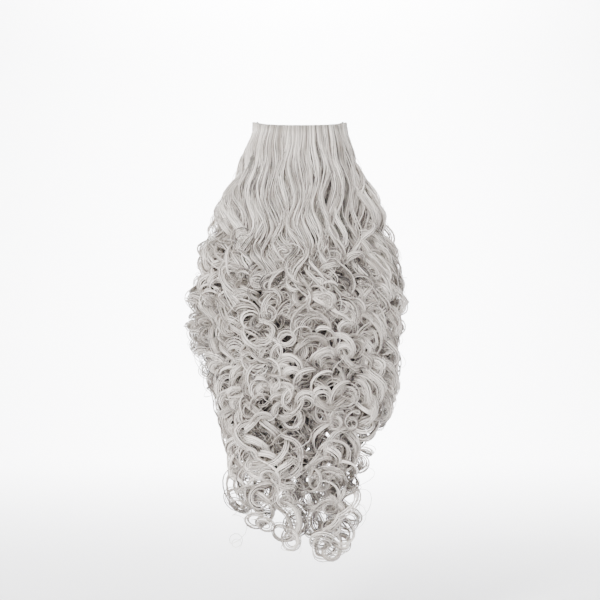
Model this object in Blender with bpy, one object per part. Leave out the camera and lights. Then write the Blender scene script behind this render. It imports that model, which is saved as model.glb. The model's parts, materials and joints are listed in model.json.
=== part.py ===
"""A long, curly fake beard: five falls of hair on a fabric base that cups the lower face,
held on by an elastic strap round the back of the head.

Frame: the origin is where the upper lip touches the base, at the middle of its top edge.
+Z is up, the beard faces -Y and the wearer's head is on the +Y side. Units are metres.

Every point of the hair is placed by three numbers: side, from -1 at the wearer's right ear
to 1 at the left; drop, the depth below the lip edge; and lift, the distance outwards from
the surface that the hair lies on.
"""

import math
from collections import namedtuple

import bmesh
import bpy
from mathutils import Vector

MM = 0.001

# Driving dimensions of the beard
BEARD_LENGTH = 730 * MM
BEARD_WIDTH = 371 * MM
HAIR_DEPTH = 92 * MM
LIP_LENGTH = 288 * MM
CHIN_LENGTH = 478 * MM
CHEEK_LENGTH = 508 * MM

# The base that cups the lower face
FACE_BREADTH = 146 * MM
FACE_DEPTH = 88 * MM
CHIN_DROP = 100 * MM
CHIN_TUCK = 14 * MM
CHEEK_RISE = 14 * MM
JAW_RISE = 66 * MM
BASE_WALL = 1.6 * MM
BASE_ARC = math.radians(88)

# The elastic strap
STRAP_WIDTH = 20 * MM
STRAP_WALL = 1.4 * MM
STRAP_REACH = 104 * MM
STRAP_LAP = 18 * MM
STRAP_DROP = 6 * MM

# Clearances
SEAT_GAP = 0.6 * MM
SEAM_GAP = 0.4 * MM
TIER_GAP = 0.9 * MM

# Waves, curls and locks
WAVE_SWING = 5 * MM
CURL_SWING = 11 * MM
WAVE_LENGTH = 104 * MM
CURL_LENGTH = 62 * MM
GROOVE = 13 * MM
LOCK_RADIUS = 11 * MM
THIN_EDGE = 2.6 * MM

# The most that a groove alone, and a groove with a roll, take of their layer; the in and out
# part of a swing for joined crests and for free curls; a free lock's swing and radius as shares
# of its room; its tip's radius as a share of its own; how far it draws in where it comes free
GROOVE_SHARE = 0.42
DENT_SHARE = 0.62
CREST_ROLL = 0.4
CURL_ROLL = 0.7
ROOM_SHARE = 0.55
RADIUS_SHARE = 0.58
TIP_SHARE = 0.42
SPLIT = 0.12

# Where the locks come free, as shares of each fall's length
LIP_FREE = 0.70
SIDE_FREE = 0.82
THROAT_FREE = 0.76

# How much of the hair's depth the lip fall takes at its root and below, and the throat fall
# while it is covered
ROOT_SHARE = 0.78
LIP_SHARE = 0.27
THROAT_SHARE = 0.25

# Where the layers start and reach those depths, as shares of CHIN_DROP, and the drop over
# which one comes forward from under another
CHIN_START = 0.45
LIP_THINNED = 1.5
THROAT_START = 0.70
THROAT_FILLED = 1.6
LAYER_EASE = 34 * MM

# The seams between the middle falls and the cheek falls, as sides
LIP_CORNER = 0.72
FALL_SEAM = 0.70
THROAT_CORNER = 0.45
THROAT_SEAM = 0.92

# Row spacing of the faceted surfaces
BASE_COLUMNS = 30
BASE_ROWS = 7
PLAIN_ROW = 26 * MM
CURLY_ROW = 15 * MM
CREST_EDGE = 0.24
LOCK_CORNERS = (160, 115, 65, 20, -35, -90, -145)
STEP = 2 * MM

# The face under the base: drop as a share of CHIN_DROP, breadth of FACE_BREADTH, sweep of
# FACE_DEPTH, and how far the front lies behind the lip as a share of CHIN_TUCK.
FaceRow = namedtuple("FaceRow", "drop breadth sweep behind")
FACE = [
    FaceRow(0.00, 1.00, 1.00, 0.00),
    FaceRow(0.20, 0.99, 1.00, -0.15),
    FaceRow(0.45, 0.95, 0.98, -0.25),
    FaceRow(0.70, 0.86, 0.92, -0.10),
    FaceRow(0.88, 0.74, 0.82, 0.35),
    FaceRow(1.00, 0.62, 0.72, 1.00),
]

# The hair on the face: drop as a share of CHIN_DROP, spread from the face's breadth to the
# fall's, sweep of FACE_DEPTH, and thickness in the middle and at the sides of HAIR_DEPTH.
RootRow = namedtuple("RootRow", "drop spread sweep depth edge")
ROOTS = [
    RootRow(0.00, 0.00, 1.00, 0.065, 0.055),
    RootRow(0.20, 0.08, 0.97, 0.130, 0.085),
    RootRow(0.45, 0.32, 0.90, 0.225, 0.130),
    RootRow(0.70, 0.60, 0.82, 0.340, 0.165),
    RootRow(0.88, 0.84, 0.74, 0.450, 0.195),
    RootRow(1.00, 1.00, 0.68, 0.520, 0.220),
]

# The fall below the base: drop as a share of the rest of the length, the outline's half
# widths of half BEARD_WIDTH, sweep of FACE_DEPTH, how far the back has come forward, and
# thickness in the middle and at the sides, all three of HAIR_DEPTH.
FallRow = namedtuple("FallRow", "drop right left sweep forward depth edge")
FALL = [
    FallRow(0.00, 0.636, 0.636, 0.68, 0.00, 0.52, 0.22),
    FallRow(0.08, 0.755, 0.765, 0.52, 0.01, 0.70, 0.26),
    FallRow(0.16, 0.850, 0.870, 0.41, 0.05, 0.83, 0.28),
    FallRow(0.24, 0.920, 0.930, 0.35, 0.10, 0.91, 0.30),
    FallRow(0.32, 1.000, 1.000, 0.32, 0.15, 0.98, 0.33),
    FallRow(0.40, 0.970, 0.920, 0.30, 0.20, 1.00, 0.30),
    FallRow(0.48, 0.900, 0.930, 0.27, 0.24, 1.00, 0.28),
    FallRow(0.56, 0.815, 0.870, 0.25, 0.29, 0.96, 0.25),
    FallRow(0.64, 0.715, 0.790, 0.23, 0.35, 0.87, 0.22),
    FallRow(0.72, 0.650, 0.690, 0.20, 0.40, 0.76, 0.19),
    FallRow(0.80, 0.660, 0.640, 0.18, 0.46, 0.65, 0.15),
    FallRow(0.88, 0.660, 0.610, 0.16, 0.51, 0.52, 0.13),
    FallRow(1.00, 0.640, 0.580, 0.12, 0.58, 0.34, 0.10),
]

# One lock: how far its tip reaches as a share of the fall's length, how far that drifts
# sideways as a share of BEARD_WIDTH, the start of its turns as a share of a turn, and how
# far the lock stands back from the ones beside it as a share of GROOVE.
Lock = namedtuple("Lock", "reach drift turn behind")
LIP_LOCKS = [
    Lock(0.86, -0.006, 0.00, 0.10),
    Lock(0.95, -0.003, 0.12, 0.00),
    Lock(0.89, 0.002, 0.24, 0.35),
    Lock(1.00, -0.002, 0.34, 0.05),
    Lock(0.91, 0.001, 0.46, 0.40),
    Lock(0.98, 0.002, 0.58, 0.00),
    Lock(0.90, 0.002, 0.70, 0.30),
    Lock(0.96, 0.004, 0.80, 0.00),
    Lock(0.86, 0.006, 0.92, 0.15),
]
CHIN_LOCKS = [
    Lock(0.95, -0.002, 0.10, 0.00),
    Lock(0.99, 0.002, 0.20, 0.40),
    Lock(0.94, -0.002, 0.32, 0.10),
    Lock(1.00, 0.002, 0.42, 0.00),
    Lock(0.96, 0.004, 0.30, 0.45),
    Lock(0.99, 0.000, 0.18, 0.05),
    Lock(0.95, 0.002, 0.06, 0.20),
]
CHEEK_LOCKS = [
    Lock(0.92, 0.000, 0.20, 0.30),
    Lock(0.96, 0.004, 0.27, 0.00),
    Lock(1.00, 0.010, 0.34, 0.20),
]
THROAT_LOCKS = [
    Lock(0.905, -0.010, 0.20, 0.10),
    Lock(0.930, -0.014, 0.30, 0.00),
    Lock(0.955, 0.006, 0.42, 0.30),
    Lock(0.965, 0.000, 0.50, 0.00),
    Lock(0.955, -0.004, 0.40, 0.20),
    Lock(1.000, 0.010, 0.28, 0.00),
    Lock(0.985, 0.004, 0.16, 0.25),
    Lock(0.930, 0.004, 0.26, 0.00),
]

# The colours of the hair, the base's fabric and the elastic
HAIR_COLOUR = (0.60, 0.58, 0.55, 1.0)
FABRIC_COLOUR = (0.55, 0.53, 0.50, 1.0)
ELASTIC_COLOUR = (0.68, 0.67, 0.65, 1.0)


def eased(share):
    """A share kept from 0 to 1, with level ends."""
    share = min(1.0, max(0.0, share))
    return share * share * (3 - 2 * share)


def mix(low, high, share):
    return low + (high - low) * share


def read(rows, at, column):
    """A column of a table at a drop between its rows, on a smooth curve through them."""
    if at <= rows[0].drop:
        return getattr(rows[0], column)
    if at >= rows[-1].drop:
        return getattr(rows[-1], column)
    above = max(i for i, row in enumerate(rows) if row.drop <= at)
    below = min(above + 1, len(rows) - 1)
    first, last = rows[max(above - 1, 0)], rows[min(below + 1, len(rows) - 1)]
    start, end = rows[above], rows[below]
    step = end.drop - start.drop
    low, high = getattr(start, column), getattr(end, column)
    slope_low = (high - getattr(first, column)) / (end.drop - first.drop)
    slope_high = (getattr(last, column) - low) / (last.drop - start.drop)
    t = (at - start.drop) / step
    return (
        (2 * t**3 - 3 * t**2 + 1) * low
        + (t**3 - 2 * t**2 + t) * step * slope_low
        + (3 * t**2 - 2 * t**3) * high
        + (t**3 - t**2) * step * slope_high
    )


# A horizontal section is half an ellipse round the face: its half widths to the wearer's
# right and left, how far its ends lie behind its front, and the front's place.
Ring = namedtuple("Ring", "right left sweep front")


def face_ring(drop, out=0.0):
    """The section of the face at a drop, moved outwards."""
    at = drop / CHIN_DROP
    half = FACE_BREADTH / 2 * read(FACE, at, "breadth") + out
    sweep = FACE_DEPTH * read(FACE, at, "sweep") + out
    return Ring(half, half, sweep, CHIN_TUCK * read(FACE, at, "behind") - out)


def fall_share(drop):
    """How far down the part of the fall below the base a drop is."""
    return (drop - CHIN_DROP) / (BEARD_LENGTH - CHIN_DROP)


def thickness(side, drop):
    """The hair's thickness, which thins from the middle to the sides."""
    rooted = drop < CHIN_DROP
    rows, at = (ROOTS, drop / CHIN_DROP) if rooted else (FALL, fall_share(drop))
    return HAIR_DEPTH * mix(read(rows, at, "depth"), read(rows, at, "edge"), side * side)


def hair_ring(drop):
    """The section of the surface that the hair lies on."""
    edge = thickness(1, drop)
    if drop >= CHIN_DROP:
        at = fall_share(drop)
        back = CHIN_TUCK - BASE_WALL - SEAT_GAP - HAIR_DEPTH * read(FALL, at, "forward")
        half = BEARD_WIDTH / 2
        return Ring(
            half * read(FALL, at, "right") - edge,
            half * read(FALL, at, "left") - edge,
            FACE_DEPTH * read(FALL, at, "sweep"),
            back,
        )
    seat = face_ring(drop, BASE_WALL + SEAT_GAP)
    spread = read(ROOTS, drop / CHIN_DROP, "spread")
    half = BEARD_WIDTH / 2
    return Ring(
        max(seat.right, mix(seat.right, half * FALL[0].right - edge, spread)),
        max(seat.left, mix(seat.left, half * FALL[0].left - edge, spread)),
        FACE_DEPTH * read(ROOTS, drop / CHIN_DROP, "sweep"),
        seat.front,
    )


def on_ring(ring, side, drop, lift=0.0, along=0.0):
    """The point at a side of a section, lifted outwards and moved along it.

    A side runs with the angle round the face, and with the width on the flat fall below it.
    """
    flat = eased(drop / (2 * CHIN_DROP))
    turn = mix(side * BASE_ARC, math.asin(side * math.sin(BASE_ARC)), flat)
    half = ring.left if side > 0 else ring.right
    tangent = Vector((half * math.cos(turn), ring.sweep * math.sin(turn), 0)).normalized()
    outward = Vector((tangent.y, -tangent.x, 0))
    place = Vector((half * math.sin(turn), ring.front + ring.sweep * (1 - math.cos(turn)), -drop))
    return place + outward * lift + tangent * along


def on_hair(side, drop, lift=0.0, along=0.0):
    return on_ring(hair_ring(drop), side, drop, lift, along)


def lip_edge(side):
    """The drop of the base's top edge, which rises from the lip to the ears."""
    return -CHEEK_RISE * side * side


def lip_layer(side, drop):
    """The thickness of the lip fall's layer."""
    leaving = eased((drop / CHIN_DROP - CHIN_START) / (LIP_THINNED - CHIN_START))
    held = mix(ROOT_SHARE, LIP_SHARE, leaving)
    return held * thickness(side, drop) * (1 - eased((drop - LIP_LENGTH) / LAYER_EASE))


def throat_layer(side, drop):
    """The thickness of the throat fall's layer."""
    joining = eased((drop / CHIN_DROP - THROAT_START) / (THROAT_FILLED - THROAT_START))
    held = joining * THROAT_SHARE
    covered = mix(CHIN_LENGTH, CHEEK_LENGTH, eased(2.5 * (abs(side) - FALL_SEAM) + 1))
    share = mix(held, 1.0, eased((drop - covered) / LAYER_EASE))
    return max(THIN_EDGE, share * thickness(side, drop))


def behind_lip(side, drop):
    """The lift of the lip fall's back."""
    if drop < CHIN_DROP * CHIN_START / 2:
        return 0.0
    return thickness(side, drop) - lip_layer(side, drop)


def before_chin(side, drop):
    """The lift of the chin fall's front, which comes forward where the lip fall ends."""
    bare = eased((drop - LIP_LENGTH) / LAYER_EASE)
    return thickness(side, drop) - lip_layer(side, drop) - TIER_GAP * (1 - bare)


def behind_middle(side, drop):
    """The lift of the back of the chin and cheek falls, which lie on the throat fall."""
    if drop < CHIN_DROP * THROAT_START:
        return 0.0
    return throat_layer(side, drop) + TIER_GAP


def flat_back(side, drop):
    return 0.0


def seam(drop):
    """The side where the cheek falls meet the lip and chin falls."""
    return mix(LIP_CORNER, FALL_SEAM, eased(drop / (2.5 * CHIN_DROP)))


def seam_gap(drop):
    """Half the gap at that seam, as a side."""
    return TIER_GAP / 2 / (hair_ring(drop).right * BASE_ARC)


def middle_sides(drop):
    inner = seam(drop) - seam_gap(drop)
    return -inner, inner


def right_cheek_sides(drop):
    return -1.0, -seam(drop) - seam_gap(drop)


def left_cheek_sides(drop):
    return seam(drop) + seam_gap(drop), 1.0


def throat_sides(drop):
    """The throat fall starts narrow under the chin and widens behind the cheek falls."""
    outer = mix(THROAT_CORNER, THROAT_SEAM, eased((drop / CHIN_DROP - 1) / 2))
    outer = mix(outer, 1.0, eased((drop - CHEEK_LENGTH) / (2 * LAYER_EASE) + 1))
    return -outer, outer


def wave_angle(drop):
    """The angle of the waves at a drop: long waves on the chin, short curls below it."""
    curly = eased((drop - CHIN_DROP) / (2 * CHIN_DROP))
    return 2 * math.pi * drop / mix(WAVE_LENGTH, CURL_LENGTH, curly)


def wave_swing(drop):
    """How far the locks swing to each side at a drop."""
    rooted = eased(drop / CHIN_DROP)
    return rooted * mix(WAVE_SWING, CURL_SWING, eased((drop - CHIN_DROP) / (2 * CHIN_DROP)))


class Fall:
    """One curtain of locks that are joined along their sides and end in free tips."""

    def __init__(self, name, locks, length, covered, start, sides, back, front, free_share):
        self.name = name
        self.locks = locks
        self.length = length
        self.covered = covered
        self.start = start
        self.sides = sides
        self.back = back
        self.front = front
        self.free_from = length * free_share
        self.mesh = bmesh.new()

    def columns(self):
        """The shares across the fall of each lock's valley and the two edges of its crest."""
        count = len(self.locks)
        starts = [(i + edge) / count for i in range(count) for edge in (0, CREST_EDGE, 1 - CREST_EDGE)]
        return [*starts, 1.0]

    def halves(self):
        """The shares across the fall where its locks meet and of their middles."""
        return [i / (2 * len(self.locks)) for i in range(2 * len(self.locks) + 1)]

    def at_lock(self, share, column):
        """A value of the locks at a share across the fall, which runs evenly between them."""
        place = share * len(self.locks) - 0.5
        right = max(0, min(len(self.locks) - 1, math.floor(place)))
        left = min(len(self.locks) - 1, right + 1)
        low, high = getattr(self.locks[right], column), getattr(self.locks[left], column)
        return mix(low, high, min(1.0, max(0.0, place - right)))

    def angle(self, share, drop):
        """The angle that the waves have reached."""
        return wave_angle(drop) + 2 * math.pi * self.at_lock(share, "turn")

    def freedom(self, share, drop):
        """How freely a column swings: not at all at a seam with another fall."""
        low, high = self.sides(drop)
        free = 1.0
        if low > -0.99:
            free *= eased(3 * share)
        if high < 0.99:
            free *= eased(3 * (1 - share))
        return free

    def web_rows(self):
        """The drops of the joined part's rows, closer together where the hair curls."""
        rows = [row.drop * CHIN_DROP for row in FACE]
        bare = max(self.covered, CHIN_DROP)
        for top, bottom, spacing in ((CHIN_DROP, bare, PLAIN_ROW), (bare, self.free_from, CURLY_ROW)):
            count = math.ceil((bottom - top) / spacing)
            rows += [mix(top, bottom, (i + 1) / count) for i in range(count)]
        first = max(self.start(0), 0.0)
        return [first] + [row for row in rows if row > first + MM]

    def level(self, side, drop):
        """The drop of a row at a side: the rows start along the slanting top edge."""
        first = self.start(0)
        return drop + (self.start(side) - first) * (1 - eased((drop - first) / CHIN_DROP))

    def side(self, share, drop):
        low, high = self.sides(drop)
        return mix(low, high, share)

    def swing(self, share, drop):
        """How far a column swings to each side."""
        return wave_swing(drop) * self.freedom(share, drop)

    def layer(self, side, drop):
        return self.front(side, drop) - self.back(side, drop)

    def groove(self, side, drop):
        """The depth of the valleys between the locks."""
        return min(GROOVE, GROOVE_SHARE * self.layer(side, drop)) * eased(drop / CHIN_DROP)

    def front_point(self, column, drop):
        """A point of the joined part's front."""
        share = self.columns()[column]
        side = self.side(share, drop)
        level = self.level(side, drop)
        edge = min(share, 1 - share) == 0
        if column % 3:
            behind = self.locks[column // 3].behind
        else:
            behind = 0.0 if edge and abs(side) > 0.99 else 1.0
        angle, swing = self.angle(share, drop), self.swing(share, drop)
        shown = eased((drop - self.covered) / LAYER_EASE)
        inward = CREST_ROLL * swing * (1 - math.cos(angle)) + self.groove(side, level) * behind
        inward = min(inward, DENT_SHARE * self.layer(side, level)) * shown
        lift = max(self.front(side, level) - inward, self.back(side, level) + THIN_EDGE)
        return on_hair(side, level, lift, swing * math.sin(angle) * shown)

    def back_point(self, index, drop):
        """A point of the joined part's back, which is ridged only where nothing lies behind."""
        share = self.halves()[index]
        side = self.side(share, drop)
        level = self.level(side, drop)
        if self.back is not flat_back:
            return on_hair(side, level, self.back(side, level))
        inward = self.groove(side, level) / 2 * (index % 4 == 2)
        along = self.swing(share, drop) * math.sin(self.angle(share, drop))
        return on_hair(side, level, inward, along)

    def web(self):
        """Lays the joined part's rows, and returns the last one's front and back."""
        columns, halves = len(self.columns()), len(self.halves())
        fronts, backs = [], []
        for drop in self.web_rows():
            fronts.append([self.mesh.verts.new(self.front_point(i, drop)) for i in range(columns)])
            backs.append([self.mesh.verts.new(self.back_point(i, drop)) for i in range(halves)])
        for index in range(len(self.locks)):
            self.face(*self.lock_corners(index, fronts[0].__getitem__, backs[0].__getitem__))
        for rows in (fronts, backs):
            for above, below in zip(rows, rows[1:]):
                for i in range(len(above) - 1):
                    self.face(above[i], above[i + 1], below[i + 1], below[i])
        for row in range(len(fronts) - 1):
            for end in (0, -1):
                edge = [fronts[row][end], fronts[row + 1][end], backs[row + 1][end], backs[row][end]]
                self.face(*edge)
        return fronts[-1], backs[-1]

    def lock_corners(self, index, front, back):
        """The seven corners round one lock, from the fronts and backs of its columns."""
        fronts = [front(3 * index + i) for i in range(4)]
        backs = [back(2 * index + i) for i in (2, 1, 0)]
        return fronts + backs

    def face(self, *corners):
        self.mesh.faces.new(corners)

    def room(self, index, drop):
        """Half the width that a lock has between its neighbours."""
        sides = [self.side((index + i) / len(self.locks), drop) for i in (0, 1)]
        right, left = [on_hair(side, drop, self.middle(side, drop)) for side in sides]
        return (left - right).length / 2

    def middle(self, side, drop):
        """The lift halfway through the fall's layer."""
        return (self.back(side, drop) + self.front(side, drop)) / 2

    def lock_centre(self, index, drop):
        """The middle of a lock's free part, which turns as it hangs."""
        lock = self.locks[index]
        share = (index + 0.5) / len(self.locks)
        side = self.side(share, drop)
        freed = self.freed(index, drop)
        swing = min(self.swing(share, drop), ROOM_SHARE * self.room(index, drop))
        angle = self.angle(share, drop)
        along = swing * math.sin(angle) + BEARD_WIDTH * lock.drift * eased(freed)
        lift = self.middle(side, drop) + CURL_ROLL * swing * math.cos(angle) * eased(freed)
        return on_hair(side, drop, lift, along)

    def freed(self, index, drop):
        """How far down its free part a lock has come."""
        tip = self.length * self.locks[index].reach
        return (drop - self.free_from) / (tip - self.free_from)

    def lock_ring(self, index, drop):
        """Seven corners round a lock's free part, in the order of lock_corners."""
        freed = self.freed(index, drop)
        side = self.side((index + 0.5) / len(self.locks), drop)
        centre = self.lock_centre(index, drop)
        down = (self.lock_centre(index, drop + STEP) - centre).normalized()
        right, left = [on_hair(side + i * STEP / BEARD_WIDTH, drop) for i in (-1, 1)]
        across = left - right
        across = (across - down * across.dot(down)).normalized()
        outward = down.cross(across)
        room = self.room(index, drop)
        radius = min(LOCK_RADIUS, RADIUS_SHARE * room) * (1 - (1 - TIP_SHARE) * freed**3)
        joined = self.lock_corners(
            index,
            lambda column: self.front_point(column, drop),
            lambda column: self.back_point(column, drop),
        )
        heart = sum(joined, Vector()) / len(joined)
        corners = []
        for place, turn in zip(joined, LOCK_CORNERS):
            turn = math.radians(turn)
            round_lock = across * math.cos(turn) + outward * math.sin(turn)
            corners.append(place.lerp(heart, SPLIT).lerp(centre + round_lock * radius, eased(2 * freed)))
        return corners

    def free_locks(self, front, back):
        """Runs each lock on from the joined part's last row to its tip."""
        for index, lock in enumerate(self.locks):
            ring = self.lock_corners(index, front.__getitem__, back.__getitem__)
            tip = self.length * lock.reach
            count = max(2, round((tip - self.free_from) / CURLY_ROW))
            for row in range(1, count + 1):
                drop = mix(self.free_from, tip, row / count)
                below = [self.mesh.verts.new(p) for p in self.lock_ring(index, drop)]
                for i in range(len(ring)):
                    j = (i + 1) % len(ring)
                    self.face(ring[i], ring[j], below[j], below[i])
                ring = below
            self.face(*ring)

    def build(self, material):
        front, back = self.web()
        self.free_locks(front, back)
        add_object(self.name, self.mesh, material)


def add_object(name, mesh, material):
    """Closes a bmesh into a named object with its faces pointing out."""
    bmesh.ops.recalc_face_normals(mesh, faces=mesh.faces)
    data = bpy.data.meshes.new(name)
    mesh.to_mesh(data)
    mesh.free()
    data.materials.append(material)
    made = bpy.data.objects.new(name, data)
    bpy.context.scene.collection.objects.link(made)
    return made


def make_material(name, colour, roughness):
    """A plain surface of one colour."""
    made = bpy.data.materials.new(name)
    made.use_nodes = True
    shader = made.node_tree.nodes["Principled BSDF"]
    shader.inputs["Base Color"].default_value = colour
    shader.inputs["Roughness"].default_value = roughness
    shader.inputs["Metallic"].default_value = 0.0
    return made


def make_base(material):
    """The fabric cup from ear to ear, from the lip edge down under the chin."""
    mesh = bmesh.new()
    bmesh.ops.create_grid(mesh, x_segments=BASE_COLUMNS, y_segments=BASE_ROWS, size=1)
    for vertex in mesh.verts:
        side, down = vertex.co.x, (1 - vertex.co.y) / 2
        bottom = CHIN_DROP - JAW_RISE * side * side
        drop = mix(lip_edge(side), bottom, down)
        vertex.co = on_ring(face_ring(max(drop, 0.0)), side, drop)
    made = add_object("face_base", mesh, material)
    if made.data.polygons[0].normal.y > 0:
        made.data.flip_normals()
    wall = made.modifiers.new("Wall", "SOLIDIFY")
    wall.thickness = BASE_WALL
    wall.offset = 1
    wall.use_even_offset = True


def strap_line():
    """The middle of the strap from inside the right ear tab round the head to the left one."""
    seat = face_ring(STRAP_DROP, -SEAM_GAP - STRAP_WALL / 2)
    lap = STRAP_LAP / FACE_DEPTH
    laps = [on_ring(seat, side, STRAP_DROP) for side in (-1.0, -1 + lap / 2, -1 + lap)]
    start = laps[0]
    turns = 24
    arc = [
        Vector((start.x * math.cos(math.pi * i / turns), start.y, -STRAP_DROP))
        + Vector((0, STRAP_REACH * math.sin(math.pi * i / turns), 0))
        for i in range(1, turns)
    ]
    mirrored = [Vector((-p.x, p.y, p.z)) for p in laps]
    return [*reversed(laps), *arc, *mirrored]


def make_strap(material):
    """The elastic band round the back of the head, sewn inside the base's two ends."""
    mesh = bmesh.new()
    line = strap_line()
    rings = []
    for i, place in enumerate(line):
        ahead = line[min(i + 1, len(line) - 1)] - line[max(i - 1, 0)]
        outward = Vector((-ahead.y, ahead.x, 0)).normalized() * (STRAP_WALL / 2)
        up = Vector((0, 0, STRAP_WIDTH / 2))
        corners = (place + outward + up, place - outward + up, place - outward - up, place + outward - up)
        rings.append([mesh.verts.new(p) for p in corners])
    for above, below in zip(rings, rings[1:]):
        for i in range(4):
            j = (i + 1) % 4
            mesh.faces.new((above[i], above[j], below[j], below[i]))
    mesh.faces.new(rings[0])
    mesh.faces.new(rings[-1])
    add_object("head_strap", mesh, material)


def below(share):
    """A top edge at a share of the base's height."""
    return lambda side: share * CHIN_DROP


def mirrored(locks):
    """The locks of the other side, in order from the wearer's right to left."""
    return [lock._replace(drift=-lock.drift, turn=lock.turn + 0.5) for lock in reversed(locks)]


def hair_falls():
    """The five falls, from the one sewn along the lip to the one under the chin."""
    return [
        Fall(
            "lip_fall", LIP_LOCKS, LIP_LENGTH, -CHEEK_RISE, lip_edge,
            middle_sides, behind_lip, thickness, LIP_FREE,
        ),
        Fall(
            "chin_fall", CHIN_LOCKS, CHIN_LENGTH, LIP_LENGTH, below(CHIN_START),
            middle_sides, behind_middle, before_chin, SIDE_FREE,
        ),
        Fall(
            "cheek_fall_right", mirrored(CHEEK_LOCKS), CHEEK_LENGTH, -CHEEK_RISE, lip_edge,
            right_cheek_sides, behind_middle, thickness, SIDE_FREE,
        ),
        Fall(
            "cheek_fall_left", CHEEK_LOCKS, CHEEK_LENGTH, -CHEEK_RISE, lip_edge,
            left_cheek_sides, behind_middle, thickness, SIDE_FREE,
        ),
        Fall(
            "throat_fall", THROAT_LOCKS, BEARD_LENGTH, CHIN_LENGTH - LAYER_EASE, below(THROAT_START),
            throat_sides, flat_back, throat_layer, THROAT_FREE,
        ),
    ]


def main():
    for old in list(bpy.data.objects):
        bpy.data.objects.remove(old)
    hair = make_material("synthetic hair", HAIR_COLOUR, 0.45)
    make_base(make_material("wig fabric", FABRIC_COLOUR, 0.85))
    make_strap(make_material("woven elastic", ELASTIC_COLOUR, 0.75))
    for fall in hair_falls():
        fall.build(hair)


main()
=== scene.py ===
"""The looks of a long curly fake beard: crimped strands in waves and ringlets on a knitted base.

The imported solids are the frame. Every piece made here lies where they lie, in metres, with the
origin at the middle of the base's top edge, Z up and the front of the beard towards -Y. The hair
is worked out in millimetres on the same sections as the solids, and turned to metres at the end.
"""
import json
import logging
import math
from dataclasses import dataclass, field, fields
from enum import Enum
from typing import Optional, Sequence

import bmesh
import bpy
import numpy as np
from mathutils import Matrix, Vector

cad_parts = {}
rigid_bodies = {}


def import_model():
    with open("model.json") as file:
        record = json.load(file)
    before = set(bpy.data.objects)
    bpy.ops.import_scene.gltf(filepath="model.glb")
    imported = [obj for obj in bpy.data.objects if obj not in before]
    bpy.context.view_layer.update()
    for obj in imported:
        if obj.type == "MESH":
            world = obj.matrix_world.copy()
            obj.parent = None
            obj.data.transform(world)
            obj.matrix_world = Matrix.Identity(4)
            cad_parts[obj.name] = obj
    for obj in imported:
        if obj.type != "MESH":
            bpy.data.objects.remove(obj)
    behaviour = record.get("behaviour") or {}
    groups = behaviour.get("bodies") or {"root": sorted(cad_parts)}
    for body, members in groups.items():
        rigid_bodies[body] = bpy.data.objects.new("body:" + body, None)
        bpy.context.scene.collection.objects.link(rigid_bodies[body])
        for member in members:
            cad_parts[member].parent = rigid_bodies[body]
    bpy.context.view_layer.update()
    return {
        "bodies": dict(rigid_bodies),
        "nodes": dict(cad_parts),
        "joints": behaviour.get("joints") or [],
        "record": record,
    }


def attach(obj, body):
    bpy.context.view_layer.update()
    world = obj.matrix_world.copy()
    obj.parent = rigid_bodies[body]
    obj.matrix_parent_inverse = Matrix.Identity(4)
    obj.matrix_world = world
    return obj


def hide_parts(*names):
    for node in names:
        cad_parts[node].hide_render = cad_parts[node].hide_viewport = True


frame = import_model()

MM = 0.001
BODY = "root"
# At this scale a band texture repeats about once a unit, and at the second one exactly once.
BAND_SCALE = 0.314
RIB_SCALE = 0.314159
LOG = logging.getLogger("beard")


class Slot(Enum):
    """The record's material slots."""

    HAIR = "hair"
    BASE_FABRIC = "base_fabric"
    STRAP_ELASTIC = "strap_elastic"


class Hand(Enum):
    """The wearer's right and left, as signs across the beard."""

    RIGHT = -1
    LEFT = 1


class Column(Enum):
    """What the columns of the beard's sections hold, after the drop."""

    RIGHT_HALF = 0
    LEFT_HALF = 1
    SWEEP = 2
    FRONT = 3
    MIDDLE_THICKNESS = 4
    SIDE_THICKNESS = 5


# --------------------------------------------------------------------------- small helpers


def linear(hex_colour: str) -> tuple[float, float, float, float]:
    """Turns an sRGB hex colour to the linear values that a shader takes.

    Args:
        hex_colour: Six hex digits, such as "d9d6d1".

    Returns:
        Red, green, blue and an alpha of 1.
    """
    parts = [int(hex_colour[i:i + 2], 16) / 255 for i in (0, 2, 4)]
    made = [p / 12.92 if p <= 0.04045 else ((p + 0.055) / 1.055) ** 2.4 for p in parts]
    return (made[0], made[1], made[2], 1.0)


def eased(share: np.ndarray) -> np.ndarray:
    """Keeps a share from 0 to 1, with level ends."""
    share = np.clip(share, 0.0, 1.0)
    return share * share * (3 - 2 * share)


def mix(low: np.ndarray, high: np.ndarray, share: np.ndarray) -> np.ndarray:
    """Goes from low to high by a share."""
    return low + (high - low) * share


def unit(vectors: np.ndarray) -> np.ndarray:
    """Makes the vectors of the last axis one long."""
    return vectors / np.maximum(np.linalg.norm(vectors, axis=-1, keepdims=True), 1e-9)


def node(
    tree: bpy.types.NodeTree,
    kind: str,
    settings: Optional[dict[str, object]] = None,
    values: Optional[dict[str, object]] = None,
    links: Optional[dict[str, bpy.types.NodeSocket]] = None,
) -> bpy.types.Node:
    """Adds one node with its settings, its socket values and what is linked into it.

    Args:
        tree: The material's or world's node tree.
        kind: The node's type, such as "ShaderNodeTexNoise".
        settings: Properties of the node itself.
        values: Values of input sockets, by socket name or number.
        links: Output sockets to link, by the name or number of the input they go to.

    Returns:
        The new node.
    """
    made = tree.nodes.new(kind)
    for name, value in (settings or {}).items():
        setattr(made, name, value)
    for name, value in (values or {}).items():
        made.inputs[name].default_value = value
    for name, source in (links or {}).items():
        tree.links.new(source, made.inputs[name])
    return made


def blank_material(name: str) -> tuple[bpy.types.Material, bpy.types.NodeTree]:
    """Makes an empty node material.

    Args:
        name: The material's name.

    Returns:
        The material and its empty node tree.
    """
    made = bpy.data.materials.new(name)
    made.use_nodes = True
    made.node_tree.nodes.clear()
    return made, made.node_tree


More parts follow.
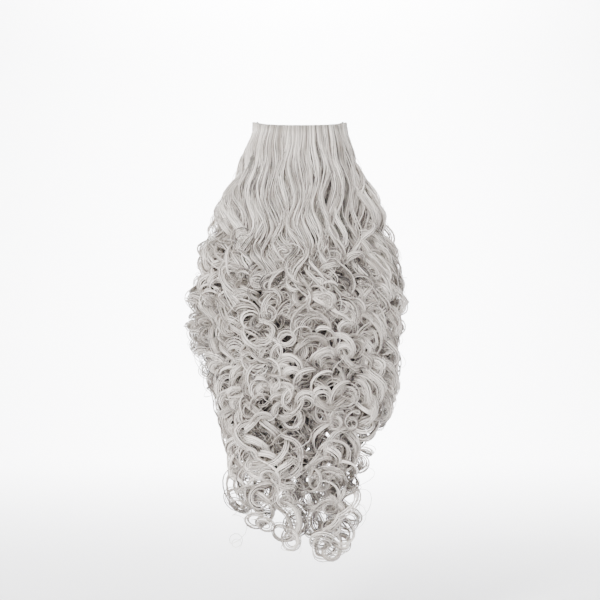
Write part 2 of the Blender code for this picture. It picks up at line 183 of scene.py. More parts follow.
def ramp(made: bpy.types.Node, stops: Sequence[tuple[float, str]]) -> None:
    """Sets the stops of a colour ramp.

    Args:
        made: The colour ramp node.
        stops: Places from 0 to 1 and their sRGB hex colours.
    """
    elements = made.color_ramp.elements
    while len(elements) < len(stops):
        elements.new(0.5)
    for element, (place, colour) in zip(elements, stops):
        element.position = place
        element.color = linear(colour)


def smooth_mesh(built: bmesh.types.BMesh, name: str) -> bpy.types.Mesh:
    """Turns a built form to a smooth mesh, and frees the form.

    Args:
        built: The form, in metres.
        name: The mesh's name.

    Returns:
        The mesh.
    """
    made = bpy.data.meshes.new(name)
    built.to_mesh(made)
    built.free()
    for polygon in made.polygons:
        polygon.use_smooth = True
    return made


def add_piece(
    name: str,
    mesh: bpy.types.Mesh,
    material: bpy.types.Material,
    stands_for: Sequence[str],
) -> None:
    """Puts a mesh in the scene as a piece of the beard.

    Args:
        name: The piece's name.
        mesh: Its mesh, in place, in metres.
        material: What it is made of.
        stands_for: The CAD nodes that it replaces.
    """
    mesh.materials.append(material)
    piece = bpy.data.objects.new(name, mesh)
    bpy.context.scene.collection.objects.link(piece)
    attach(piece, BODY)
    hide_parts(*stands_for)


# --------------------------------------------------------------------------- the beard's form


@dataclass
class BeardForm:
    """The shape that the hair follows: half-ellipse sections from the lip down, in mm.

    A place is a side from -1 at the wearer's right ear to 1 at the left, a drop below the lip,
    and a lift outwards from the surface that the hair lies on.
    """

    base_arc: float = math.radians(88)
    chin_drop: float = 100.0
    cheek_rise: float = 14.0
    reach: float = 732.0
    step: float = 2.0
    smoothed_over: int = 9
    # How fast a section's right half goes over to its left half, by the place across.
    middle_blend: float = 4.0
    # drop, half width right and left, sweep, front, thickness in the middle and at the sides
    sections: tuple[tuple[float, ...], ...] = (
        (0, 75, 75, 88, -2.2, 6, 5), (20, 77, 77, 85, -4.3, 12, 8),
        (45, 83, 83, 79, -5.7, 21, 12), (70, 88, 88, 72, -3.6, 31, 15),
        (88, 93, 93, 65, 2.7, 41, 18), (100, 98, 98, 60, 11.8, 48, 20),
        (150, 116, 118, 46, 10.9, 64, 24), (200, 132, 135, 36, 7.3, 76, 26),
        (250, 143, 145, 31, 2.7, 84, 28), (300, 155, 155, 28, -1.9, 90, 30),
        (350, 153, 143, 26, -6.4, 92, 28), (400, 142, 147, 24, -10.1, 92, 26),
        (450, 129, 139, 22, -14.6, 89, 23), (500, 113, 127, 20, -20.1, 81, 20),
        (550, 103, 111, 18, -24.6, 71, 18), (600, 108, 105, 16, -30.1, 61, 14),
        (650, 110, 101, 14, -34.7, 49, 12), (700, 110, 99, 12, -39.0, 38, 10),
        (730, 110, 98, 11, -41.6, 31, 9),
    )
    table: np.ndarray = field(init=False)
    drops: np.ndarray = field(init=False)

    def __post_init__(self) -> None:
        """Draws smooth curves through the sections."""
        rows = np.array(self.sections, dtype=float)
        self.drops = np.arange(0.0, self.reach, self.step)
        kept = []
        for column in range(1, rows.shape[1]):
            line = np.interp(self.drops, rows[:, 0], rows[:, column])
            padded = np.pad(line, self.smoothed_over // 2, mode="edge")
            window = np.ones(self.smoothed_over) / self.smoothed_over
            kept.append(np.convolve(padded, window, mode="valid"))
        self.table = np.array(kept)

    def read(self, column: Column, drop: np.ndarray) -> np.ndarray:
        """Reads a column of the sections at the given drops."""
        return np.interp(drop, self.drops, self.table[column.value])

    def thickness(self, side: np.ndarray, drop: np.ndarray) -> np.ndarray:
        """Gives the hair's thickness, which thins from the middle to the sides."""
        middle, sides = Column.MIDDLE_THICKNESS, Column.SIDE_THICKNESS
        return mix(self.read(middle, drop), self.read(sides, drop), np.clip(side * side, 0, 1))

    def edge(self, side: np.ndarray) -> np.ndarray:
        """Gives the drop of the base's top edge, which rises from the lip to the ears."""
        return -self.cheek_rise * side * side

    def place(
        self, side: np.ndarray, drop: np.ndarray, lift: np.ndarray
    ) -> tuple[np.ndarray, np.ndarray, np.ndarray]:
        """Finds points on the beard and the directions there.

        Args:
            side: Places across the beard, from -1 to 1.
            drop: Depths below the lip.
            lift: Distances outwards from the surface under the hair.

        Returns:
            The points, the directions along the section, and the directions outwards.
        """
        side, drop, lift = np.broadcast_arrays(side, drop, lift)
        flat = eased(drop / (2 * self.chin_drop))
        across = np.clip(side * math.sin(self.base_arc), -0.9999, 0.9999)
        turn = mix(side * self.base_arc, np.arcsin(across), flat)
        blend = eased(side * self.middle_blend + 0.5)
        right, left = self.read(Column.RIGHT_HALF, drop), self.read(Column.LEFT_HALF, drop)
        half = mix(right, left, blend)
        sweep, front = self.read(Column.SWEEP, drop), self.read(Column.FRONT, drop)
        zero = np.zeros_like(turn)
        along = unit(np.stack([half * np.cos(turn), sweep * np.sin(turn), zero], -1))
        outward = np.stack([along[..., 1], -along[..., 0], zero], -1)
        behind = front + sweep * (1 - np.cos(turn))
        point = np.stack([half * np.sin(turn), behind, -drop], -1)
        return point + outward * lift[..., None], along, outward


# --------------------------------------------------------------------------- finishes


@dataclass(frozen=True)
class CrimpedFibre:
    """Crimped modacrylic wig fibre: spun as filaments, then crimped and set with steam.

    It gives the eye a soft satin sheen that runs along each strand, fine streaks of paler and
    darker filaments, and a slightly warm silver grey. Through the tone attribute it is drawn
    darker between and deep in the locks as painted shade, and lighter on their tops as painted
    light.
    """

    name: str = "crimped_modacrylic_fibre"
    deep: str = "38332e"
    body: str = "968c82"
    light: str = "f8f0e6"
    roughness: float = 0.34
    # Real filaments are 0.08 mm thick. The streaks are drawn about 0.7 mm wide, as fine as shows.
    streak_mm: float = 0.7
    streak_run_mm: float = 38.0

    def make(self) -> bpy.types.Material:
        """Builds the material, coloured strand by strand from the pieces' own attributes.

        Returns:
            The material.
        """
        made, tree = blank_material(self.name)
        fibre = node(tree, "ShaderNodeAttribute", {"attribute_name": "fibre"})
        tone = node(tree, "ShaderNodeAttribute", {"attribute_name": "tone"})
        # The attribute is in mm across the strand, a number of its own, and mm along the strand.
        stretched = node(
            tree, "ShaderNodeVectorMath", {"operation": "MULTIPLY"},
            {1: (1 / self.streak_mm, 1.0, 1 / self.streak_run_mm)}, {0: fibre.outputs["Vector"]},
        )
        streak = node(
            tree, "ShaderNodeTexNoise", {"noise_dimensions": "3D"},
            {"Scale": 1.0, "Detail": 2.0, "Roughness": 0.6}, {"Vector": stretched.outputs[0]},
        )
        shade = node(
            tree, "ShaderNodeMath", {"operation": "MULTIPLY_ADD", "use_clamp": True},
            {1: 1.0, 2: -0.5}, {0: streak.outputs["Fac"]},
        )
        total = node(
            tree, "ShaderNodeMath", {"operation": "ADD", "use_clamp": True},
            {}, {0: tone.outputs["Fac"], 1: shade.outputs[0]},
        )
        colours = node(tree, "ShaderNodeValToRGB", {}, {}, {"Fac": total.outputs[0]})
        ramp(colours, [(0.0, self.deep), (0.45, self.body), (1.0, self.light)])
        bump = node(
            tree, "ShaderNodeBump", {}, {"Strength": 0.35, "Distance": 0.0004},
            {"Height": streak.outputs["Fac"]},
        )
        shader = node(
            tree, "ShaderNodeBsdfPrincipled", {},
            {
                "Roughness": self.roughness, "IOR": 1.5, "Specular IOR Level": 1.0,
                "Sheen Weight": 0.12, "Sheen Roughness": 0.5,
            },
            {"Base Color": colours.outputs["Color"], "Normal": bump.outputs["Normal"]},
        )
        node(tree, "ShaderNodeOutputMaterial", {}, {}, {"Surface": shader.outputs[0]})
        return made


@dataclass(frozen=True)
class PackedFibrePaintedShade:
    """The same crimped fibre, packed deep inside the beard, where no single strand shows.

    Its colours are darker than the strands' as painted shade, for fibre deep in the beard that
    little light reaches. It gives the eye the matt ground between the locks, with long soft
    streaks.
    """

    name: str = "packed_modacrylic_fibre"
    # Painted shade: both colours are darker than the strands' own fibre.
    deep: str = "44403b"
    body: str = "827d76"
    streak_mm: float = 1.8
    streak_run_mm: float = 60.0

    def make(self) -> bpy.types.Material:
        """Builds the material on the object's own coordinates, streaked from top to bottom.

        Returns:
            The material.
        """
        made, tree = blank_material(self.name)
        place = node(tree, "ShaderNodeTexCoord")
        across, down = 1 / (self.streak_mm * MM), 1 / (self.streak_run_mm * MM)
        stretched = node(
            tree, "ShaderNodeVectorMath", {"operation": "MULTIPLY"}, {1: (across, across, down)},
            {0: place.outputs["Object"]},
        )
        streak = node(
            tree, "ShaderNodeTexNoise", {}, {"Scale": 1.0, "Detail": 3.0, "Distortion": 0.6},
            {"Vector": stretched.outputs[0]},
        )
        colours = node(tree, "ShaderNodeValToRGB", {}, {}, {"Fac": streak.outputs["Fac"]})
        ramp(colours, [(0.3, self.deep), (0.7, self.body)])
        bump = node(
            tree, "ShaderNodeBump", {}, {"Strength": 0.8, "Distance": 0.0015},
            {"Height": streak.outputs["Fac"]},
        )
        shader = node(
            tree, "ShaderNodeBsdfPrincipled", {}, {"Roughness": 0.62, "Specular IOR Level": 0.35},
            {"Base Color": colours.outputs["Color"], "Normal": bump.outputs["Normal"]},
        )
        node(tree, "ShaderNodeOutputMaterial", {}, {}, {"Surface": shader.outputs[0]})
        return made


@dataclass(frozen=True)
class KnittedFabric:
    """Warp-knitted polyester, the stretchy cloth that a beard's base is cut from.

    It gives the eye a matt grey cloth of fine upright ribs, crossed by rows of loops.
    """

    name: str = "warp_knit_polyester"
    deep: str = "5d5954"
    body: str = "a7a29a"
    # A real wale is about 0.9 mm wide and a course 0.7 mm. They are drawn coarser, to show.
    wale_mm: float = 3.2
    course_mm: float = 2.6

    def make(self) -> bpy.types.Material:
        """Builds the knit from two crossed waves on the piece's own cloth coordinates.

        Returns:
            The material.
        """
        made, tree = blank_material(self.name)
        cloth = node(tree, "ShaderNodeAttribute", {"attribute_name": "cloth"})
        scaled = node(
            tree, "ShaderNodeVectorMath", {"operation": "MULTIPLY"},
            {1: (1 / self.wale_mm, 1 / self.course_mm, 1.0)}, {0: cloth.outputs["Vector"]},
        )
        wale = node(
            tree, "ShaderNodeTexWave", {"wave_type": "BANDS", "bands_direction": "X"},
            {"Scale": BAND_SCALE, "Distortion": 0.4, "Detail": 1.0}, {"Vector": scaled.outputs[0]},
        )
        course = node(
            tree, "ShaderNodeTexWave", {"wave_type": "BANDS", "bands_direction": "Y"},
            {"Scale": BAND_SCALE, "Distortion": 0.6, "Detail": 1.0}, {"Vector": scaled.outputs[0]},
        )
        knit = node(
            tree, "ShaderNodeMath", {"operation": "MULTIPLY"}, {},
            {0: wale.outputs["Fac"], 1: course.outputs["Fac"]},
        )
        place = node(tree, "ShaderNodeTexCoord")
        worn = node(
            tree, "ShaderNodeTexNoise", {}, {"Scale": 45.0, "Detail": 3.0},
            {"Vector": place.outputs["Object"]},
        )
        both = node(
            tree, "ShaderNodeMath", {"operation": "MULTIPLY_ADD"}, {1: 0.5},
            {0: worn.outputs["Fac"], 2: knit.outputs[0]},
        )
        colours = node(tree, "ShaderNodeValToRGB", {}, {}, {"Fac": both.outputs[0]})
        ramp(colours, [(0.2, self.deep), (0.8, self.body)])
        bump = node(
            tree, "ShaderNodeBump", {}, {"Strength": 0.8, "Distance": 0.0008},
            {"Height": knit.outputs[0]},
        )
        shader = node(
            tree, "ShaderNodeBsdfPrincipled", {},
            {
                "Roughness": 0.82, "Specular IOR Level": 0.3,
                "Sheen Weight": 0.3, "Sheen Roughness": 0.6,
            },
            {"Base Color": colours.outputs["Color"], "Normal": bump.outputs["Normal"]},
        )
        node(tree, "ShaderNodeOutputMaterial", {}, {}, {"Surface": shader.outputs[0]})
        return made


@dataclass(frozen=True)
class WovenElastic:
    """Woven elastic: rubber cores under polyester yarn, woven narrow on a tape loom.

    It gives the eye a matt grey band with ribs along its length, crossed by its weft.
    """

    name: str = "woven_elastic_tape"
    deep: str = "4e4a45"
    body: str = "aaa59d"
    # A 20 mm band has seven ribs.
    rib_mm: float = 20.0 / 7
    # The weft passes every 0.8 mm on such tape, and is drawn at 2.2 mm so that it shows.
    pick_mm: float = 2.2

    def make(self) -> bpy.types.Material:
        """Builds the shade between the ribs, whose relief is in the mesh, and the weft across.

        Returns:
            The material.
        """
        made, tree = blank_material(self.name)
        cloth = node(tree, "ShaderNodeAttribute", {"attribute_name": "cloth"})
        scaled = node(
            tree, "ShaderNodeVectorMath", {"operation": "MULTIPLY"},
            {1: (1 / self.pick_mm, 1 / self.rib_mm, 1.0)}, {0: cloth.outputs["Vector"]},
        )
        picks = node(
            tree, "ShaderNodeTexWave", {"wave_type": "BANDS", "bands_direction": "X"},
            {"Scale": BAND_SCALE, "Distortion": 0.5, "Detail": 1.0}, {"Vector": scaled.outputs[0]},
        )
        ribs = node(
            tree, "ShaderNodeTexWave", {"wave_type": "BANDS", "bands_direction": "Y"},
            {"Scale": RIB_SCALE}, {"Vector": scaled.outputs[0]},
        )
        crossed = node(
            tree, "ShaderNodeMath", {"operation": "MULTIPLY_ADD"}, {1: 0.4},
            {0: picks.outputs["Fac"], 2: ribs.outputs["Fac"]},
        )
        fuzz = node(
            tree, "ShaderNodeTexNoise", {}, {"Scale": 1.4, "Detail": 3.0},
            {"Vector": scaled.outputs[0]},
        )
        both = node(
            tree, "ShaderNodeMath", {"operation": "MULTIPLY_ADD"}, {1: 0.3},
            {0: fuzz.outputs["Fac"], 2: crossed.outputs[0]},
        )
        colours = node(tree, "ShaderNodeValToRGB", {}, {}, {"Fac": both.outputs[0]})
        ramp(colours, [(0.15, self.deep), (1.0, self.body)])
        bump = node(
            tree, "ShaderNodeBump", {}, {"Strength": 0.6, "Distance": 0.0004},
            {"Height": both.outputs[0]},
        )
        shader = node(
            tree, "ShaderNodeBsdfPrincipled", {}, {"Roughness": 0.7, "Specular IOR Level": 0.4},
            {"Base Color": colours.outputs["Color"], "Normal": bump.outputs["Normal"]},
        )
        node(tree, "ShaderNodeOutputMaterial", {}, {}, {"Surface": shader.outputs[0]})
        return made


@dataclass(frozen=True)
class WeftTape:
    """Woven polyester tape, folded over the base's edge and sewn under each row of hair.

    It gives the eye a darker matt band with the slanted lines of a twill.
    """

    name: str = "woven_polyester_tape"
    deep: str = "47433e"
    body: str = "7d7871"
    # The real twill lines are 0.6 mm apart. They are drawn 1.8 mm apart so that they show.
    twill_mm: float = 1.8

    def make(self) -> bpy.types.Material:
        """Builds the slanted twill on the tape's own cloth coordinates.

        Returns:
            The material.
        """
        made, tree = blank_material(self.name)
        cloth = node(tree, "ShaderNodeAttribute", {"attribute_name": "cloth"})
        scaled = node(
            tree, "ShaderNodeVectorMath", {"operation": "MULTIPLY"},
            {1: (1 / self.twill_mm, 1 / self.twill_mm, 1.0)}, {0: cloth.outputs["Vector"]},
        )
        twill = node(
            tree, "ShaderNodeTexWave", {"wave_type": "BANDS", "bands_direction": "DIAGONAL"},
            {"Scale": 0.18, "Distortion": 0.6, "Detail": 1.0}, {"Vector": scaled.outputs[0]},
        )
        fuzz = node(
            tree, "ShaderNodeTexNoise", {}, {"Scale": 0.9, "Detail": 3.0},
            {"Vector": scaled.outputs[0]},
        )
        both = node(
            tree, "ShaderNodeMath", {"operation": "MULTIPLY_ADD"}, {1: 0.5},
            {0: fuzz.outputs["Fac"], 2: twill.outputs["Fac"]},
        )
        colours = node(tree, "ShaderNodeValToRGB", {}, {}, {"Fac": both.outputs[0]})
        ramp(colours, [(0.15, self.deep), (1.0, self.body)])
        bump = node(
            tree, "ShaderNodeBump", {}, {"Strength": 0.6, "Distance": 0.0004},
            {"Height": twill.outputs["Fac"]},
        )
        shader = node(
            tree, "ShaderNodeBsdfPrincipled", {}, {"Roughness": 0.78, "Specular IOR Level": 0.35},
            {"Base Color": colours.outputs["Color"], "Normal": bump.outputs["Normal"]},
        )
        node(tree, "ShaderNodeOutputMaterial", {}, {}, {"Surface": shader.outputs[0]})
        return made


@dataclass(frozen=True)
class SewingThread:
    """Spun polyester sewing thread, twisted from two plies.

    It gives the eye small dark stitches whose soft gloss breaks at each twist.
    """

    name: str = "spun_polyester_thread"
    deep: str = "3d3a36"
    body: str = "8b867e"
    # The twist of the two plies repeats about every 0.5 mm, as on the real thread.
    ply_mm: float = 0.5

    def make(self) -> bpy.types.Material:
        """Builds the twist on the object's own coordinates.

        Returns:
            The material.
        """
        made, tree = blank_material(self.name)
        place = node(tree, "ShaderNodeTexCoord")
        scale = 1 / (self.ply_mm * MM)
        scaled = node(
            tree, "ShaderNodeVectorMath", {"operation": "MULTIPLY"}, {1: (scale, scale, scale)},
            {0: place.outputs["Object"]},
        )
        twist = node(
            tree, "ShaderNodeTexWave", {"wave_type": "BANDS", "bands_direction": "DIAGONAL"},
            {"Scale": 0.3, "Distortion": 1.0, "Detail": 1.0}, {"Vector": scaled.outputs[0]},
        )
        colours = node(tree, "ShaderNodeValToRGB", {}, {}, {"Fac": twist.outputs["Fac"]})
        ramp(colours, [(0.1, self.deep), (0.9, self.body)])
        bump = node(
            tree, "ShaderNodeBump", {}, {"Strength": 0.5, "Distance": 0.0001},
            {"Height": twist.outputs["Fac"]},
        )
        shader = node(
            tree, "ShaderNodeBsdfPrincipled", {}, {"Roughness": 0.5, "Specular IOR Level": 0.5},
            {"Base Color": colours.outputs["Color"], "Normal": bump.outputs["Normal"]},
        )
        node(tree, "ShaderNodeOutputMaterial", {}, {}, {"Surface": shader.outputs[0]})
        return made


@dataclass(frozen=True)
class StudioPaper:
    """Seamless background paper: matt coated pulp off a wide roll, hung in one sweep.

    It gives the eye an even, near white ground, with no grain that shows.
    """

    name: str = "seamless_paper"
    low: str = "f4f4f6"
    high: str = "fafafb"

    def make(self) -> bpy.types.Material:
        """Builds the paper with a very faint tone.

        Returns:
            The material.
        """
        made, tree = blank_material(self.name)
        place = node(tree, "ShaderNodeTexCoord")
        tone = node(
            tree, "ShaderNodeTexNoise", {}, {"Scale": 0.6, "Detail": 1.0},
            {"Vector": place.outputs["Object"]},
        )
        colours = node(tree, "ShaderNodeValToRGB", {}, {}, {"Fac": tone.outputs["Fac"]})
        ramp(colours, [(0.0, self.low), (1.0, self.high)])
        shader = node(
            tree, "ShaderNodeBsdfPrincipled", {}, {"Roughness": 0.9, "Specular IOR Level": 0.2},
            {"Base Color": colours.outputs["Color"]},
        )
        node(tree, "ShaderNodeOutputMaterial", {}, {}, {"Surface": shader.outputs[0]})
        return made


# --------------------------------------------------------------------------- strands


@dataclass
class StrandMesh:
    """Many closed, flattened strands joined in one mesh, in mm until they are turned to metres."""

    longest_step: float = 22.0
    turn_step: float = math.radians(36.5)
    fewest_steps: int = 3
    # Each ring has a left and a right edge and a ridge, so it has three corners.
    corners_each: int = 3
    # How far the ridge stands up and the edges lie low, as shares of the strand's width.
    ridge_height: float = 0.5
    edge_depth: float = 0.12
    edge_shade: float = 0.14
    # Moves the streaks on from strand to strand, so that no two have the same.
    grain_shift: float = 7.31
    lines: list[np.ndarray] = field(default_factory=list)
    ridges: list[np.ndarray] = field(default_factory=list)
    widths: list[np.ndarray] = field(default_factory=list)
    tones: list[np.ndarray] = field(default_factory=list)

    def lay(
        self,
        line: np.ndarray,
        ridge: np.ndarray,
        width: np.ndarray,
        tone: np.ndarray,
        coarse: float = 1.0,
    ) -> None:
        """Adds one strand, with fewer points where it runs straight.

        Args:
            line: The strand's points.
            ridge: The direction that its ridge faces, at each point.
            width: Its width at each point.
            tone: How light it is at each point, from 0 to 1.
            coarse: How much further apart its points may be than on a strand that shows.
        """
        ahead = np.diff(line, axis=0)
        runs = np.linalg.norm(ahead, axis=1)
        ways = ahead / np.maximum(runs, 1e-6)[:, None]
        turns = np.zeros(len(runs))
        turns[1:] = np.arccos(np.clip((ways[1:] * ways[:-1]).sum(1), -1, 1))
        spent = runs / self.longest_step + turns / self.turn_step
        cost = np.concatenate([[0.0], np.cumsum(spent)])
        count = max(int(math.ceil(cost[-1] / coarse)), self.fewest_steps) + 1
        at = np.interp(np.linspace(0, cost[-1], count), cost, np.arange(len(line)))
        steps = np.arange(len(line))
        self.lines.append(np.stack([np.interp(at, steps, line[:, i]) for i in range(3)], 1))
        self.ridges.append(np.stack([np.interp(at, steps, ridge[:, i]) for i in range(3)], 1))
        self.widths.append(np.interp(at, steps, width))
        self.tones.append(np.interp(at, steps, tone))

    def triangles(self) -> int:
        """Counts the triangles that the strands make: two a side of each step, and two ends."""
        return sum(2 * self.corners_each * (len(line) - 1) + 2 for line in self.lines)

    def share(self, part: int, parts: int) -> "StrandMesh":
        """Takes an even share of the strands, one in every so many.

        Args:
            part: Which share, from 0.
            parts: How many shares there are.

        Returns:
            The share's strands.
        """
        return StrandMesh(
            lines=self.lines[part::parts], ridges=self.ridges[part::parts],
            widths=self.widths[part::parts], tones=self.tones[part::parts],
        )

    def corners(self, index: int) -> tuple[np.ndarray, np.ndarray]:
        """Works out one strand's rings of three corners.

        Args:
            index: Which strand.

        Returns:
            The corners, ring by ring, and each one's place in the fibre's own coordinates.
        """
        line, width = self.lines[index], self.widths[index][:, None]
        way = unit(np.gradient(line, axis=0))
        ridge = self.ridges[index]
        ridge = unit(ridge - way * (ridge * way).sum(1, keepdims=True))
        aside = np.cross(way, ridge)
        low = line - ridge * width * self.edge_depth
        high = line + ridge * width * self.ridge_height
        rings = np.stack([low - aside * width / 2, low + aside * width / 2, high], 1)
        ahead = np.linalg.norm(np.diff(line, axis=0), axis=1)
        run = np.concatenate([[0.0], np.cumsum(ahead)])
        grain = np.zeros((len(line), self.corners_each, 3))
        grain[:, 0, 0], grain[:, 1, 0] = -width[:, 0] / 2, width[:, 0] / 2
        grain[:, :, 1] = index * self.grain_shift
        grain[:, :, 2] = run[:, None]
        return rings.reshape(-1, 3), grain.reshape(-1, 3)

    def weave(self, name: str) -> bpy.types.Mesh:
        """Joins the strands in one mesh.

        Args:
            name: The mesh's name.

        Returns:
            The mesh, in metres, smooth, with the attributes "tone" and "fibre".
        """
        each = self.corners_each
        points, grains, tones, quads, caps = [], [], [], [], []
        first = 0
        for index, line in enumerate(self.lines):
            corners, grain = self.corners(index)
            near = np.arange(len(line) - 1)[:, None] * each + first
            far = near + each
            for i in range(each):
                j = (i + 1) % each
                quads.append(np.concatenate([near + i, near + j, far + j, far + i], 1))
            last = first + each * (len(line) - 1)
            caps += [(first + 2, first + 1, first), (last, last + 1, last + 2)]
            points.append(corners)
            grains.append(grain)
            # A strand's ridge catches the light, and its edges lie in the shade of the next.
            shades = self.tones[index][:, None] + self.edge_shade * np.array([[-1.0, -1.0, 1.0]])
            tones.append(np.clip(shades, 0, 1).ravel())
            first += len(corners)
        places = np.concatenate(points) * MM
        sides, ends = np.concatenate(quads), np.array(caps)
        mesh = bpy.data.meshes.new(name)
        mesh.vertices.add(len(places))
        mesh.vertices.foreach_set("co", places.ravel())
        loops = np.concatenate([sides.ravel(), ends.ravel()])
        sizes = np.concatenate([np.full(len(sides), 4), np.full(len(ends), each)])
        mesh.loops.add(len(loops))
        mesh.loops.foreach_set("vertex_index", loops)
        mesh.polygons.add(len(sizes))
        starts = np.concatenate([[0], np.cumsum(sizes)[:-1]])
        mesh.polygons.foreach_set("loop_start", starts)
        mesh.polygons.foreach_set("use_smooth", np.ones(len(sizes), dtype=bool))
        mesh.update(calc_edges=True)
        light = mesh.attributes.new("tone", "FLOAT", "POINT")
        light.data.foreach_set("value", np.concatenate(tones))
        fibre = mesh.attributes.new("fibre", "FLOAT_VECTOR", "POINT")
        fibre.data.foreach_set("vector", np.concatenate(grains).ravel())
        return mesh


@dataclass(frozen=True)
class Habit:
    """How this hair lies in every row. Lengths are in mm, and the rest are shares or counts."""

    # The samples: a fall of this length takes as many as one turn of the end coil does.
    fall_per_turn: float = 70.0
    # From the root, the waves grow over the first of these falls and the lock rises to its own
    # level over the second. The ringlet sets in over the third, and the coil's tilt over the last.
    wave_in: float = 70.0
    rise_over: float = 130.0
    curl_over: float = 45.0
    coil_over: float = 55.0
    # The lock goes to its last level from this far above its ringlet, over this fall.
    settle_above: float = 25.0
    settle_over: float = 60.0
    lean_shares: tuple[float, float] = (0.3, 0.7)
    coil_close: tuple[float, float] = (0.5, 0.88)
    coil_fall: tuple[float, float] = (1.0, 7.0)
    ringlet_depth: float = 0.95
    lowest_lift: float = 0.3
    # A lock's section: flat at the root, then rounded, and narrower in the coil.
    spread_over: float = 90.0
    coil_breadth: float = 0.75
    root_heap: float = 1.2
    heap: tuple[float, float] = (1.8, 3.4)
    heap_round: float = 1.3
    heap_low: float = 0.7
    heap_shake: float = 0.3
    order_shake: float = 0.35
    # A strand's own drift, and how a stray strand differs from the rest.
    drift_waves: tuple[float, float] = (55.0, 150.0)
    drift_reach: float = 0.9
    stray_drift: float = 3.2
    stray_growth: float = 4.0
    stray_width: float = 0.55
    stray_tone: float = 0.12
    growth_shake: float = 0.05
    # Where a strand is cut, and how it thins to its tip.
    cut_shake: tuple[float, float] = (0.02, 0.05)
    fewest_samples: int = 60
    widths: tuple[float, float] = (0.78, 1.2)
    tip_share: float = 0.16
    tip_width: float = 0.3
    tip_curve: float = 0.6
    ridge_turn: float = 0.9
    # Tones: lock by lock; painted light at the top of the lock's section and painted shade at its
    # edges; and painted light and shade by how deep a strand lies, level at this burial.
    lock_tone: float = 0.08
    crown_tone: float = 0.1
    level_burial: float = 0.3
    tones: tuple[float, float] = (0.02, 0.98)


HABIT = Habit()


@dataclass
class LockPath:
    """Where a row's locks run: a line of numbers or points for each lock, sample by sample."""

    # The fall below the lip, and the share of the end coil that lies behind.
    drop: np.ndarray
    in_coil: np.ndarray
    # How far the waves and then the ringlet have set in, from 0 to 1.
    wave: np.ndarray
    curl: np.ndarray
    # How far the lock's middle swings from its centre line, and which way.
    swing: np.ndarray
    ring: np.ndarray
    # The centre line, the way outwards there, its lift and the hair's whole thickness.
    centre: np.ndarray
    out: np.ndarray
    lift: np.ndarray
    thick: np.ndarray
    spine: np.ndarray

    def one(self, index: int) -> "LockPath":
        """Picks out one lock."""
        return LockPath(**{part.name: getattr(self, part.name)[index] for part in fields(self)})

    def frame(self) -> tuple[np.ndarray, np.ndarray]:
        """Carries each lock's own frame down its spine without twisting.

        Returns:
            The direction that the lock faces and the direction across it.
        """
        way = unit(np.gradient(self.spine, axis=1))
        face = np.empty_like(way)
        leaning = (self.out[:, 0] * way[:, 0]).sum(-1, keepdims=True)
        face[:, 0] = unit(self.out[:, 0] - way[:, 0] * leaning)
        for i in range(1, way.shape[1]):
            kept = face[:, i - 1]
            face[:, i] = unit(kept - way[:, i] * (kept * way[:, i]).sum(-1, keepdims=True))
        return face, np.cross(way, face)

    def runs(self) -> np.ndarray:
        """Measures the way along each spine from its root."""
        steps = np.diff(self.spine, axis=1, prepend=self.spine[:, :1])
        return np.cumsum(np.linalg.norm(steps, axis=-1), axis=1)


